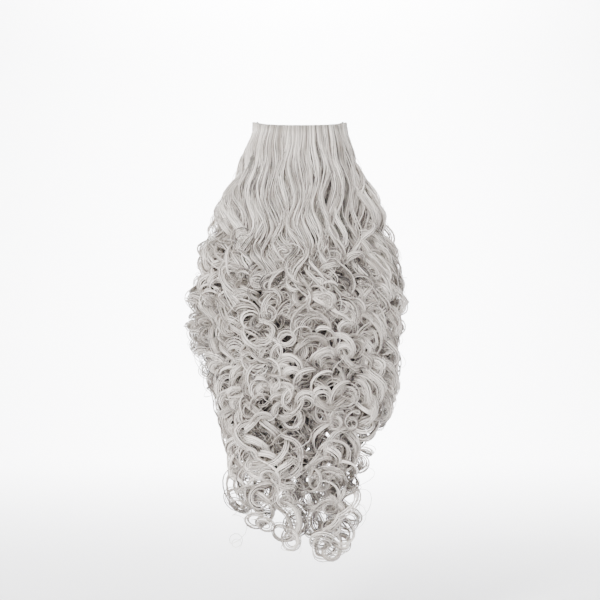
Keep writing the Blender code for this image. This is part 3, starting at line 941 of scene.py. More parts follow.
@dataclass
class Locks:
    """A row of locks that share one count of strands. The arrays have one value for each lock.

    Each lock falls from its root in waves, winds up to a ringlet and ends in a coil. Pairs of
    numbers are the lowest and highest that is drawn, unless a comment says otherwise. Lengths
    are in mm and tilts in degrees.
    """

    side: np.ndarray
    start: np.ndarray
    end: np.ndarray
    lift_root: np.ndarray
    lift_way: np.ndarray
    lift_end: np.ndarray
    root_breadth: float
    strands: int
    seed: int
    radius: tuple[float, float] = (12.0, 18.0)
    pitch: tuple[float, float] = (34.0, 48.0)
    turns: tuple[float, float] = (1.2, 2.3)
    tilt: tuple[float, float] = (10.0, 75.0)
    coil_tilt: tuple[float, float] = (45.0, 95.0)
    yaw: tuple[float, float] = (-36.0, 36.0)
    ringlet: tuple[float, float] = (25.0, 105.0)
    breadth: tuple[float, float] = (3.6, 5.4)
    drift: float = 0.05
    width: float = 2.2
    tone: float = 0.5
    loose: float = 0.8
    # The next pairs go from the first number to the second between these two drops.
    wave_from: float = 110.0
    wave_full: float = 300.0
    wave_length: tuple[float, float] = (108.0, 62.0)
    wave_swing: tuple[float, float] = (7.0, 12.5)
    wave_depth: tuple[float, float] = (0.3, 0.65)
    wave_spread: tuple[float, float] = (0.8, 1.25)
    out_of_step: float = 1.1
    one_hand: float = 0.5
    strays: float = 0.15
    coarse: float = 1.0
    tucked: float = 0.5
    depth_shade: float = 0.5
    shade_depth: float = 28.0
    tone_spread: float = 0.11
    samples: int = 420

    def between(self, rng: np.random.Generator, span: tuple[float, float]) -> np.ndarray:
        """Draws one number for each lock.

        Args:
            rng: The seeded generator.
            span: The lowest and highest number.

        Returns:
            The numbers, in a column.
        """
        return rng.uniform(span[0], span[1], (len(self.side), 1))

    def path(self, form: BeardForm, rng: np.random.Generator) -> LockPath:
        """Works out where the locks run.

        Args:
            form: The beard's form.
            rng: The row's seeded generator.

        Returns:
            The locks' paths.
        """
        count = len(self.side)
        side0, start, end = self.side[:, None], self.start[:, None], self.end[:, None]
        turns, radius = self.between(rng, self.turns), self.between(rng, self.radius)
        pitch = self.between(rng, self.pitch)
        hand = rng.choice([-1.0, 1.0], (count, 1), p=[1 - self.one_hand, self.one_hand])
        leaning = rng.choice([-1.0, 1.0], (count, 1), p=list(HABIT.lean_shares))
        tilt = np.radians(self.between(rng, self.tilt)) * leaning
        coil_tilt = np.radians(self.between(rng, self.coil_tilt)) * leaning
        yaw = np.radians(self.between(rng, self.yaw))
        close = self.between(rng, HABIT.coil_close)

        # The share of the samples that the end coil takes, by the turns that it makes.
        axis_turns = (end - start) / HABIT.fall_per_turn
        coil = turns / (turns + axis_turns)
        p = np.linspace(0, 1, self.samples)[None, :]
        on_axis = np.clip(p / (1 - coil), 0, 1)
        in_coil = np.clip((p - (1 - coil)) / coil, 0, 1)
        drop = mix(start, end, on_axis) + in_coil * turns * self.between(rng, HABIT.coil_fall)
        wave = eased((drop - self.wave_from) / (self.wave_full - self.wave_from))
        ringlet = self.between(rng, self.ringlet)
        curl = eased((drop - end + ringlet) / HABIT.curl_over)
        length = mix(self.wave_length[0], self.wave_length[1], wave)
        length = mix(length * self.between(rng, self.wave_spread), pitch, curl)

        # The waves' phase goes slowly to and fro across the beard, so that neighbours nest.
        phase = 2.3 * np.sin(3.1 * side0 + 0.7) + 1.2 * np.sin(7.3 * side0 + 0.4)
        phase = phase + self.between(rng, (-self.out_of_step, self.out_of_step))
        advance = np.diff(mix(start, end, on_axis), axis=1, prepend=start) / length * 2 * math.pi
        advance += np.diff(in_coil, axis=1, prepend=0.0) * turns * 2 * math.pi
        angle = phase + hand * np.cumsum(advance, axis=1)
        swing = mix(mix(self.wave_swing[0], self.wave_swing[1], wave), radius, curl)
        swing = eased((drop - start) / HABIT.wave_in) * swing * mix(1.0, close, in_coil)
        sway = rng.normal(0, 1, (count, 2, 1))
        swayed = sway[:, 0] * on_axis + 0.5 * sway[:, 1] * np.sin(on_axis * math.pi)
        side = side0 + self.drift * swayed

        thick = form.thickness(side, drop)
        risen = eased((drop - start) / HABIT.rise_over)
        settled = eased((drop - end + ringlet + HABIT.settle_above) / HABIT.settle_over)
        share = mix(self.lift_root[:, None], self.lift_way[:, None], risen)
        share = mix(share, self.lift_end[:, None], settled)
        highest = np.maximum(thick - self.tucked * swing, HABIT.lowest_lift * thick)
        lift = np.minimum(share * thick, highest)
        centre, along, out = form.place(side, drop, lift)

        down = np.zeros_like(out)
        down[..., 2] = 1.0
        in_end = eased((drop - end + HABIT.coil_over) / HABIT.coil_over)
        lean = mix(tilt * np.maximum(curl, 0.5 * wave), coil_tilt, in_end)[..., None]
        cos_yaw, sin_yaw = np.cos(yaw * curl)[..., None], np.sin(yaw * curl)[..., None]
        first = cos_yaw * along + sin_yaw * out
        second = np.cos(lean) * (cos_yaw * out - sin_yaw * along) + np.sin(lean) * down
        depth = mix(self.wave_depth[0], self.wave_depth[1], wave)
        depth = mix(depth, HABIT.ringlet_depth, curl)
        ring = np.sin(angle)[..., None] * first + (depth * np.cos(angle))[..., None] * second
        return LockPath(
            drop=drop, in_coil=in_coil, wave=wave, curl=curl, swing=swing, ring=ring,
            centre=centre, out=out, lift=lift, thick=thick, spine=centre + swing[..., None] * ring,
        )

    def lay(self, form: BeardForm, mesh: StrandMesh) -> None:
        """Works out every strand of these locks and adds it to a mesh.

        Args:
            form: The beard's form.
            mesh: Where the strands go.
        """
        rng = np.random.default_rng(self.seed)
        path = self.path(form, rng)
        face, aside = path.frame()
        fallen = eased((path.drop - self.start[:, None]) / HABIT.spread_over)
        band = mix(self.root_breadth, self.between(rng, self.breadth), fallen)
        band = band * mix(1.0, HABIT.coil_breadth, path.in_coil)
        heaped = np.maximum(path.curl, 0.6 * path.wave)
        heap = mix(HABIT.root_heap, self.between(rng, HABIT.heap), heaped)
        run = path.runs()
        lock_tone = rng.normal(0, HABIT.lock_tone, len(self.side))
        k = self.strands
        for n in range(len(self.side)):
            shaken = np.arange(k) + rng.uniform(-HABIT.order_shake, HABIT.order_shake, k)
            order = shaken / max(k - 1, 1) * 2 - 1
            rounded = 1 - order ** 2
            heights = HABIT.heap_round * rounded - HABIT.heap_low
            heights = heights + rng.normal(0, HABIT.heap_shake, k)
            lock = path.one(n)
            for i in range(k):
                self.strand(
                    mesh, rng, lock, (aside[n], face[n]), run[n],
                    (order[i] * band[n], heights[i] * heap[n]), order[i],
                    self.tone + lock_tone[n],
                )

    def strand(
        self,
        mesh: StrandMesh,
        rng: np.random.Generator,
        lock: LockPath,
        frame: tuple[np.ndarray, np.ndarray],
        run: np.ndarray,
        offset: tuple[np.ndarray, np.ndarray],
        order: float,
        tone: float,
    ) -> None:
        """Adds one strand of a lock to a mesh.

        Args:
            mesh: Where the strand goes.
            rng: The row's seeded generator.
            lock: The lock's path.
            frame: The directions across the lock and outwards from it, at each sample.
            run: The way along its spine, at each sample.
            offset: How far the strand lies across the lock and outwards, at each sample.
            order: The strand's place in the lock, from -1 to 1.
            tone: How light the lock is.
        """
        aside, face = frame
        stray = rng.random() < self.strays
        freely = self.loose * (HABIT.stray_drift if stray else 1.0) * HABIT.drift_reach
        waves = rng.uniform(*HABIT.drift_waves, 2)
        shifts = rng.uniform(0, 6.28, 2)
        opened = freely * eased(run / HABIT.spread_over)
        across = offset[0] + opened * np.sin(run * 6.28 / waves[0] + shifts[0])
        outward = offset[1] + opened * np.sin(run * 6.28 / waves[1] + shifts[1])
        growth = rng.normal(0, HABIT.growth_shake) * self.loose
        growth = growth * (HABIT.stray_growth if stray else 1.0)
        line = (
            lock.spine + (across[:, None] * aside) + (outward[:, None] * face)
            + (growth * lock.swing * lock.curl)[:, None] * lock.ring
        )
        kept = 1 - abs(rng.normal(0, HABIT.cut_shake[0])) - rng.uniform(0, HABIT.cut_shake[1])
        cut = min(max(int(self.samples * kept), HABIT.fewest_samples), self.samples)
        size = self.width * rng.uniform(*HABIT.widths) * (HABIT.stray_width if stray else 1.0)
        tip = np.clip((run[cut - 1] - run[:cut]) / (HABIT.tip_share * run[-1]), 0, 1)
        width = size * mix(HABIT.tip_width, 1.0, tip ** HABIT.tip_curve)
        turned = HABIT.ridge_turn * order
        ridge = math.cos(turned) * face + math.sin(turned) * aside
        # Hair that lies deep in the beard catches less light, so it is drawn darker.
        height = lock.lift + ((line - lock.centre) * lock.out).sum(-1)
        buried = np.clip((lock.thick - height) / self.shade_depth, 0, 1)
        tone = tone + rng.normal(0, self.tone_spread) + (HABIT.stray_tone if stray else 0.0)
        # Painted light and shade: a lock's middle strands, at the top of its rounded section, are
        # drawn lighter and its edge strands darker, as light falls on a round lock.
        tone = tone + HABIT.crown_tone * (2 * (1 - order ** 2) - 1)
        tone = tone + self.depth_shade * (HABIT.level_burial - buried[:cut])
        mesh.lay(line[:cut], ridge[:cut], width, np.clip(tone, *HABIT.tones), self.coarse)


@dataclass
class HairTier:
    """One tier of the beard: rows of locks, joined in pieces that stand for its solid."""

    name: str
    stands_for: str
    rows: list[Locks]
    most_triangles: int = 185_000

    def build(self, form: BeardForm, material: bpy.types.Material) -> None:
        """Builds the tier's strands, in as many pieces as the limit on triangles asks for.

        Args:
            form: The beard's form.
            material: The fibre.
        """
        whole = StrandMesh()
        for row in self.rows:
            row.lay(form, whole)
        parts = max(1, math.ceil(whole.triangles() / self.most_triangles))
        for part in range(parts):
            chosen = whole.share(part, parts)
            title = self.name if parts == 1 else f"{self.name}_{part + 1}"
            add_piece(title, chosen.weave(title), material, [self.stands_for])
            LOG.info("%s: %d strands, %d triangles", title, len(chosen.lines), chosen.triangles())


@dataclass
class BeardHair:
    """All the strands: the lip, cheek, chin and throat tiers, and the layer under them."""

    seed: int = 41
    # side and drop of the lowest locks, which part the bottom into three groups
    lowest: tuple[tuple[float, float], ...] = (
        (0.33, 686), (0.41, 700), (0.53, 704), (0.60, 694), (0.68, 676), (0.76, 656),
        (0.22, 664), (0.12, 640), (-0.95, 622), (-0.86, 632), (-0.77, 610), (-0.64, 654),
        (-0.52, 662), (-0.24, 672), (-0.14, 682), (-0.06, 660),
    )
    # side and drop of the curls that stand out at each side of the beard's widest part
    side_curls: tuple[tuple[float, float], ...] = (
        (0.985, 228), (1.0, 262), (0.98, 300), (0.995, 338),
    )
    # where the throat's fall is longest across the beard, and how wide that stretch is
    longest_at: float = 0.48
    longest_width: float = 0.2

    def spread(
        self, count: int, low: float, high: float, rng: np.random.Generator, jitter: float = 0.35
    ) -> np.ndarray:
        """Spaces places evenly, a little shaken.

        Args:
            count: How many.
            low: The first place.
            high: The last place.
            rng: The seeded generator.
            jitter: The most that one moves, as a share of the spacing.

        Returns:
            The places.
        """
        gap = (high - low) / count
        return low + gap * (np.arange(count) + 0.5 + rng.uniform(-jitter, jitter, count))

    def flyaways(
        self,
        side: np.ndarray,
        start: np.ndarray,
        seed: int,
        rng: np.random.Generator,
        tone: float = 0.42,
    ) -> Locks:
        """Plans single thin hairs that stand off the outline in loose loops.

        Args:
            side: Where they leave the beard, across it.
            start: Where they leave it, in mm below the lip.
            seed: Their own seed.
            rng: The tier's generator.
            tone: How light they are.

        Returns:
            The row of single hairs.
        """
        count = len(side)
        return Locks(
            side=side, start=start, end=start + rng.uniform(60, 210, count),
            lift_root=np.full(count, 0.6), lift_way=rng.uniform(0.8, 1.35, count),
            lift_end=rng.uniform(0.8, 1.5, count), root_breadth=1.0, strands=1,
            seed=self.seed + seed, tone=tone, drift=0.06, width=0.95, radius=(8, 20),
            pitch=(30, 60), turns=(0.6, 1.8), ringlet=(60, 160), loose=2.0, strays=0.0,
            coarse=1.25,
        )

    def lip(self, form: BeardForm) -> HairTier:
        """Plans the tier that falls from the lip edge, smooth at the top and waved below.

        Args:
            form: The beard's form.

        Returns:
            The tier.
        """
        rng = np.random.default_rng(self.seed)
        rows = []
        # The deeper rows get lower tones: painted shade, for hair that lies under other hair.
        # locks, lowest and highest lift, seed, ends, tone, strands a lock, their width, coarseness
        for count, low, high, seed, reach, tone, strands, width, coarse in (
            (20, 0.10, 0.45, 11, (240, 350), 0.28, 7, 2.9, 1.8),
            (30, 0.40, 0.75, 12, (240, 350), 0.30, 9, 2.0, 1.0),
            (33, 0.75, 1.0, 13, (215, 345), 0.38, 9, 1.8, 1.0),
        ):
            side = self.spread(count, -0.78, 0.78, rng)
            level = rng.uniform(low, high, count) * 0.5 + 0.5
            rows.append(Locks(
                side=side, start=form.edge(side) + rng.uniform(0.2, 1.4, count),
                end=rng.uniform(*reach, count) - 30 * np.abs(side),
                lift_root=rng.uniform(low, high, count), lift_way=level, lift_end=level,
                root_breadth=4.2, strands=strands, seed=self.seed + seed, tone=tone, drift=0.045,
                tilt=(10, 60), strays=0.07, loose=1.0, ringlet=(10, 55), width=width,
                breadth=(4.4, 7.4), wave_from=80, wave_full=270, wave_length=(110, 76),
                wave_swing=(4.8, 12.5), coarse=coarse, wave_spread=(0.9, 1.12), out_of_step=0.6,
                one_hand=0.84, tone_spread=0.2, depth_shade=0.4,
            ))
        return HairTier("lip_strands", "lip_fall", rows)

    def cheek(self, form: BeardForm, hand: Hand) -> HairTier:
        """Plans one cheek's tier: broad waves that spread outwards, and the curls at the side.

        Args:
            form: The beard's form.
            hand: Which cheek.

        Returns:
            The tier.
        """
        sign = hand.value
        rng = np.random.default_rng(self.seed + 5 + sign)
        rows = []
        # The deeper row gets a lower tone: painted shade, for hair that lies under other hair.
        # locks, lowest and highest lift, seed, ends, tone, strands a lock, their width, coarseness
        for count, low, high, seed, reach, tone, strands, width, coarse in (
            (12, 0.05, 0.5, 21, (280, 500), 0.3, 6, 2.7, 1.3),
            (20, 0.75, 1.5, 22, (205, 485), 0.54, 7, 2.1, 1.0),
        ):
            side = sign * self.spread(count, 0.70, 1.0, rng)
            level = rng.uniform(low, high, count)
            rows.append(Locks(
                side=side, start=form.edge(side) + rng.choice([0.4, 1.0, 9.0, 18.0], count),
                end=rng.uniform(*reach, count), lift_root=rng.uniform(0.3, 1.0, count),
                lift_way=0.8 * level, lift_end=level, root_breadth=4.2, strands=strands,
                seed=self.seed + seed + sign, tone=tone, drift=0.05, tilt=(5, 45), strays=0.1,
                wave_from=30, wave_full=200, width=width, breadth=(4.0, 6.8),
                wave_length=(128, 92), wave_swing=(7.0, 15.0), ringlet=(35, 105), coarse=coarse,
                wave_depth=(0.7, 0.9), out_of_step=0.7, one_hand=0.8, tucked=0.1,
                yaw=(sign * 42 - 32, sign * 42 + 32),
            ))
        rows.append(self.side_row(sign))
        leaving = sign * rng.uniform(0.78, 1.0, 56)
        rows.append(self.flyaways(leaving, rng.uniform(20, 340, 56), 61 + sign, rng))
        side_name = hand.name.lower()
        return HairTier(f"cheek_strands_{side_name}", f"cheek_fall_{side_name}", rows)

    def side_row(self, sign: int) -> Locks:
        """Plans the curls that stand out at one side.

        Args:
            sign: -1 for the wearer's right, 1 for the left.

        Returns:
            The row of curls.
        """
        place = np.array(self.side_curls)
        count = len(place)
        return Locks(
            side=sign * place[:, 0], start=place[:, 1] - 120, end=place[:, 1],
            lift_root=np.full(count, 0.5), lift_way=np.full(count, 0.9), lift_end=np.ones(count),
            root_breadth=3.6, strands=5, seed=self.seed + 27 + sign, tone=0.56, drift=0.01,
            width=1.9, radius=(13, 16.5), turns=(1.2, 1.8), coil_tilt=(72, 96),
            ringlet=(45, 80), breadth=(3.4, 4.8), strays=0.1, tucked=0.8,
            yaw=(sign * 66 - 18, sign * 66 + 18), coarse=1.1,
        )

    def chin(self) -> HairTier:
        """Plans the chin's tier: dense ringlets from under the lip's waves.

        Returns:
            The tier.
        """
        rng = np.random.default_rng(self.seed + 9)
        rows = []
        # The deeper rows get lower tones: painted shade, for hair that lies under other hair.
        # locks, lowest and highest lift, seed, ends, tone, strands a lock, their width, coarseness
        for count, low, high, seed, reach, tone, strands, width, coarse in (
            (20, 0.35, 0.6, 31, (340, 500), 0.14, 4, 2.8, 1.4),
            (44, 0.6, 0.85, 32, (300, 490), 0.34, 5, 2.4, 1.1),
            (56, 0.85, 1.02, 33, (280, 500), 0.54, 7, 2.0, 1.0),
        ):
            side = self.spread(count, -0.85, 0.85, rng)
            level = rng.uniform(low, high, count)
            rows.append(Locks(
                side=side, start=rng.uniform(130, 215, count), end=rng.uniform(*reach, count),
                lift_root=rng.uniform(0.25, 0.55, count), lift_way=0.72 * level, lift_end=level,
                root_breadth=4.5, strands=strands, seed=self.seed + seed, tone=tone, drift=0.06,
                tilt=(20, 80), coil_tilt=(60, 98), strays=0.1, width=width, radius=(13.5, 19.5),
                turns=(1.4, 2.4), loose=0.6, depth_shade=0.62, coarse=coarse,
            ))
        leaving = rng.uniform(-0.8, 0.8, 40)
        rows.append(self.flyaways(leaving, rng.uniform(110, 330, 40), 67, rng, tone=0.8))
        return HairTier("chin_strands", "chin_fall", rows)

    def throat(self) -> HairTier:
        """Plans the longest tier, which ends in three groups of wide open curls.

        Returns:
            The tier.
        """
        rng = np.random.default_rng(self.seed + 13)
        lifts = (0.35, 1.0)
        rows = []
        # locks, first and last side, seed, ends, how much longer they are in the longest stretch
        for count, first, last, seed, reach, longer in (
            (14, -0.99, -0.50, 41, (535, 630), 0),
            (14, -0.52, 0.0, 42, (555, 660), 0),
            (18, 0.0, 0.9, 43, (515, 600), 70),
            (13, -0.95, 0.95, 44, (440, 560), 0),
        ):
            side = self.spread(count, first, last, rng)
            level = rng.uniform(*lifts, count)
            away = (side - self.longest_at) / self.longest_width
            shorter = 110 * np.clip(side - 0.6, 0, 1) - longer * np.exp(-(away ** 2))
            end = rng.uniform(*reach, count) - shorter
            rows.append(self.open_curls(side, end, level, seed, 0.05, rng))
        side, end = np.array(self.lowest)[:, 0], np.array(self.lowest)[:, 1]
        level = rng.uniform(*lifts, len(side))
        rows.append(self.open_curls(side, end, level, 45, 0.015, rng))
        leaving = rng.uniform(-1.0, 0.9, 40)
        rows.append(self.flyaways(leaving, rng.uniform(360, 520, 40), 65, rng))
        return HairTier("throat_strands", "throat_fall", rows)

    def open_curls(
        self,
        side: np.ndarray,
        end: np.ndarray,
        level: np.ndarray,
        seed: int,
        drift: float,
        rng: np.random.Generator,
    ) -> Locks:
        """Plans a row of the throat's long locks.

        Args:
            side: The locks' places across the beard.
            end: Where they end, in mm below the lip.
            level: Their lifts, as shares of the hair's thickness.
            seed: The row's own seed.
            drift: How far they wander sideways.
            rng: The tier's generator.

        Returns:
            The row.
        """
        count = len(side)
        return Locks(
            side=side, start=rng.uniform(300, 400, count), end=end,
            lift_root=rng.uniform(0.2, 0.5, count), lift_way=0.8 * level, lift_end=level,
            root_breadth=4.5, strands=6, seed=self.seed + seed, tone=0.6, drift=drift,
            radius=(14, 21), pitch=(50, 72), breadth=(4.0, 6.0), tilt=(10, 70), turns=(1.0, 1.9),
            width=2.5, strays=0.07, ringlet=(50, 130), loose=0.55,
        )

    def under(self) -> HairTier:
        """Plans the layer against the chest, which falls in waves from the base's lower edge.

        Returns:
            The tier.
        """
        rng = np.random.default_rng(self.seed + 17)
        rows = []
        # locks, lowest and highest lift, seed, ends
        for count, low, high, seed, reach in (
            (34, 0.06, 0.16, 51, (260, 640)),
            (26, -0.03, 0.06, 52, (200, 560)),
        ):
            side = self.spread(count, -0.94, 0.94, rng)
            level = rng.uniform(low, high, count)
            rows.append(Locks(
                side=side, start=92 - 60 * side * side,
                end=rng.uniform(*reach, count) - 110 * side * side,
                lift_root=rng.uniform(0.0, 0.06, count), lift_way=level, lift_end=level,
                root_breadth=5.0, strands=4, seed=self.seed + seed, tone=0.42, drift=0.05,
                width=2.9, radius=(9, 15), pitch=(44, 60), tilt=(10, 60), strays=0.06,
                wave_from=130, wave_full=400, coarse=1.4,
            ))
        return HairTier("under_strands", "chin_fall", rows)

    def build(self, form: BeardForm, material: bpy.types.Material) -> None:
        """Builds every tier.

        Args:
            form: The beard's form.
            material: The fibre.
        """
        tiers = (
            self.lip(form), self.cheek(form, Hand.RIGHT), self.cheek(form, Hand.LEFT),
            self.chin(), self.throat(), self.under(),
        )
        for tier in tiers:
            tier.build(form, material)


@dataclass
class InnerMass:
    """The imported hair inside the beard, a closed form with the relief of streaked fibres."""

    columns: int = 60
    rows: int = 76
    side_reach: float = 0.86
    first_drop: float = 6.0
    last_drop: float = 505.0
    relief: float = 2.6
    # Shares of the hair's thickness: at the rim, on the front high up and low down, and on the
    # back at the rim and in the middle.
    front_rim: float = 0.17
    front_high: float = 0.82
    front_low: float = 0.5
    back_rim: float = 0.15
    back_middle: float = 0.25
    back_relief: float = 0.8
    # The front goes from its high share to its low one from this drop on, over as much again.
    sinks_from: float = 160.0

    def bump(self, side: np.ndarray, drop: np.ndarray) -> np.ndarray:
        """Gives the streaked relief, from crossed waves that lean with the hair.

        Args:
            side: Places across the beard.
            drop: Depths below the lip.

        Returns:
            The relief there, in mm.
        """
        x = side * 120
        lean = 9 * np.sin(drop / 16 + x / 60)
        fine = np.sin((x + lean) / 2.6) + 0.6 * np.sin((x - lean) / 4.3 + drop / 70)
        broad = np.sin((x + 1.6 * lean) / 11 + 1.3 * np.sin(drop / 41))
        return self.relief * (0.35 * fine + broad)

    def lifts(
        self, form: BeardForm, side: np.ndarray, drop: np.ndarray, rim: np.ndarray, is_front: bool
    ) -> np.ndarray:
        """Gives how far one face of the mass lies outwards.

        Args:
            form: The beard's form.
            side: Places across the beard.
            drop: Depths below the lip.
            rim: 0 at the mass's rim, 1 inside it.
            is_front: Whether it is the front face or the back.

        Returns:
            The lifts in mm.
        """
        thick = form.thickness(side, drop)
        relief = self.bump(side, drop) * rim * eased(drop / 90)
        if is_front:
            sunk = eased((drop - self.sinks_from) / self.sinks_from)
            inside = mix(self.front_high, self.front_low, sunk)
            return mix(self.front_rim, inside, rim) * thick + relief
        return mix(self.back_rim, self.back_middle, rim) * thick + self.back_relief * relief

    def build(self, form: BeardForm, material: bpy.types.Material) -> None:
        """Builds the mass from a grid, bent to the front and, turned over, to the back.

        Args:
            form: The beard's form.
            material: The packed fibre.
        """
        mesh = bmesh.new()
        bmesh.ops.create_grid(mesh, x_segments=self.columns, y_segments=self.rows, size=1)
        front = list(mesh.verts)
        whole = list(mesh.verts) + list(mesh.edges) + list(mesh.faces)
        kept = bmesh.ops.duplicate(mesh, geom=whole)["geom"]
        back = [part for part in kept if isinstance(part, bmesh.types.BMVert)]
        turned = [part for part in kept if isinstance(part, bmesh.types.BMFace)]
        bmesh.ops.reverse_faces(mesh, faces=turned)
        for verts, is_front in ((front, True), (back, False)):
            at = np.array([vertex.co[:] for vertex in verts])
            side = at[:, 0] * self.side_reach
            down = (1 - at[:, 1]) / 2
            ragged = 22 * np.sin(side * 19) + 12 * np.sin(side * 41 + 1)
            lowest = self.last_drop - 60 * side * side + ragged
            drop = mix(self.first_drop + form.edge(side) * 0.9, lowest, down)
            rim = eased((1 - np.abs(at[:, 0])) * 7) * eased((1 - down) * 6)
            rim = rim * eased(down * 30 + 0.15)
            places, _, _ = form.place(side, drop, self.lifts(form, side, drop, rim, is_front))
            for vertex, place in zip(verts, places * MM):
                vertex.co = Vector(place)
        bmesh.ops.bridge_loops(mesh, edges=[e for e in mesh.edges if len(e.link_faces) == 1])
        bmesh.ops.recalc_face_normals(mesh, faces=list(mesh.faces))
        made = smooth_mesh(mesh, "inner_mass")
        add_piece("inner_mass", made, material, ["chin_fall"])
        LOG.info("inner_mass: %d faces", len(made.polygons))


# --------------------------------------------------------------------------- base and strap


def sweep_tape(
    name: str,
    line: Sequence[Vector],
    outs: Sequence[Vector],
    half_size: tuple[float, float],
    closed: bool,
    material: bpy.types.Material,
    stands_for: Sequence[str],
    ribs: int = 0,
) -> None:
    """Sweeps a rounded flat section along a line, with the cloth's own coordinates in mm.

    Args:
        name: The piece's name.
        line: The line's points in metres.
        outs: The direction across the section's thin way at each point.
        half_size: Half the section's breadth and half its thickness, in mm.
        closed: Whether the line is a ring.
        material: What it is made of.
        stands_for: The CAD nodes that it replaces.
        ribs: How many ribs run along each broad face.
    """
    corners = ribbed_section(half_size, ribs) if ribs else rounded_section(half_size)
    mesh = bmesh.new()
    cloth = mesh.verts.layers.float_vector.new("cloth")
    count = len(line)
    run = 0.0
    rings: list[list[bmesh.types.BMVert]] = []
    for i, place in enumerate(line):
        ahead = line[(i + 1) % count] if closed or i + 1 < count else place
        behind = line[i - 1] if closed or i else place
        way = (ahead - behind).normalized()
        out = (outs[i] - way * outs[i].dot(way)).normalized()
        up = way.cross(out)
        run += (place - line[i - 1]).length / MM if i else 0.0
        ring = [mesh.verts.new(place + up * (x * MM) + out * (y * MM)) for x, y in corners]
        for vertex, (x, _) in zip(ring, corners):
            vertex[cloth] = Vector((run, x, 0))
        rings.append(ring)
    pairs = list(zip(rings, rings[1:])) + ([(rings[-1], rings[0])] if closed else [])
    for near, far in pairs:
        edges = []
        for ring in (near, far):
            for a, b in zip(ring, ring[1:] + ring[:1]):
                edges.append(mesh.edges.get((a, b)) or mesh.edges.new((a, b)))
        bmesh.ops.bridge_loops(mesh, edges=edges)
    for ring in () if closed else (rings[0], rings[-1]):
        rim = [mesh.edges.get((a, b)) for a, b in zip(ring, ring[1:] + ring[:1])]
        bmesh.ops.contextual_create(mesh, geom=rim)
    bmesh.ops.recalc_face_normals(mesh, faces=list(mesh.faces))
    add_piece(name, smooth_mesh(mesh, name), material, stands_for)


def rounded_section(half_size: tuple[float, float]) -> list[tuple[float, float]]:
    """Draws a flat section with round ends.

    Args:
        half_size: Half its breadth and half its thickness, in mm.

    Returns:
        Its corners.
    """
    broad, thin = half_size
    count, squareness = 10, 0.7
    corners = []
    for i in range(count):
        turn = 2 * math.pi * i / count
        c, s = math.cos(turn), math.sin(turn)
        x = broad * math.copysign(abs(c) ** squareness, c)
        corners.append((x, thin * math.copysign(abs(s) ** squareness, s)))
    return corners


def ribbed_section(half_size: tuple[float, float], ribs: int) -> list[tuple[float, float]]:
    """Draws a flat section whose broad faces are ribbed.

    Args:
        half_size: Half its breadth and half its thickness, in mm.
        ribs: How many ribs each face has.

    Returns:
        Its corners.
    """
    broad, thin = half_size
    corners_a_rib, groove, edge_share, edge_from = 4, 0.32, 0.72, 0.97
    steps = corners_a_rib * ribs
    top = []
    for i in range(steps + 1):
        x = -1 + 2 * i / steps
        rib = 1 - groove * (0.5 + 0.5 * math.cos(x * math.pi * ribs))
        top.append((x * broad, thin * rib * (edge_share if abs(x) > edge_from else 1)))
    return top + [(x, -y) for x, y in reversed(top)]


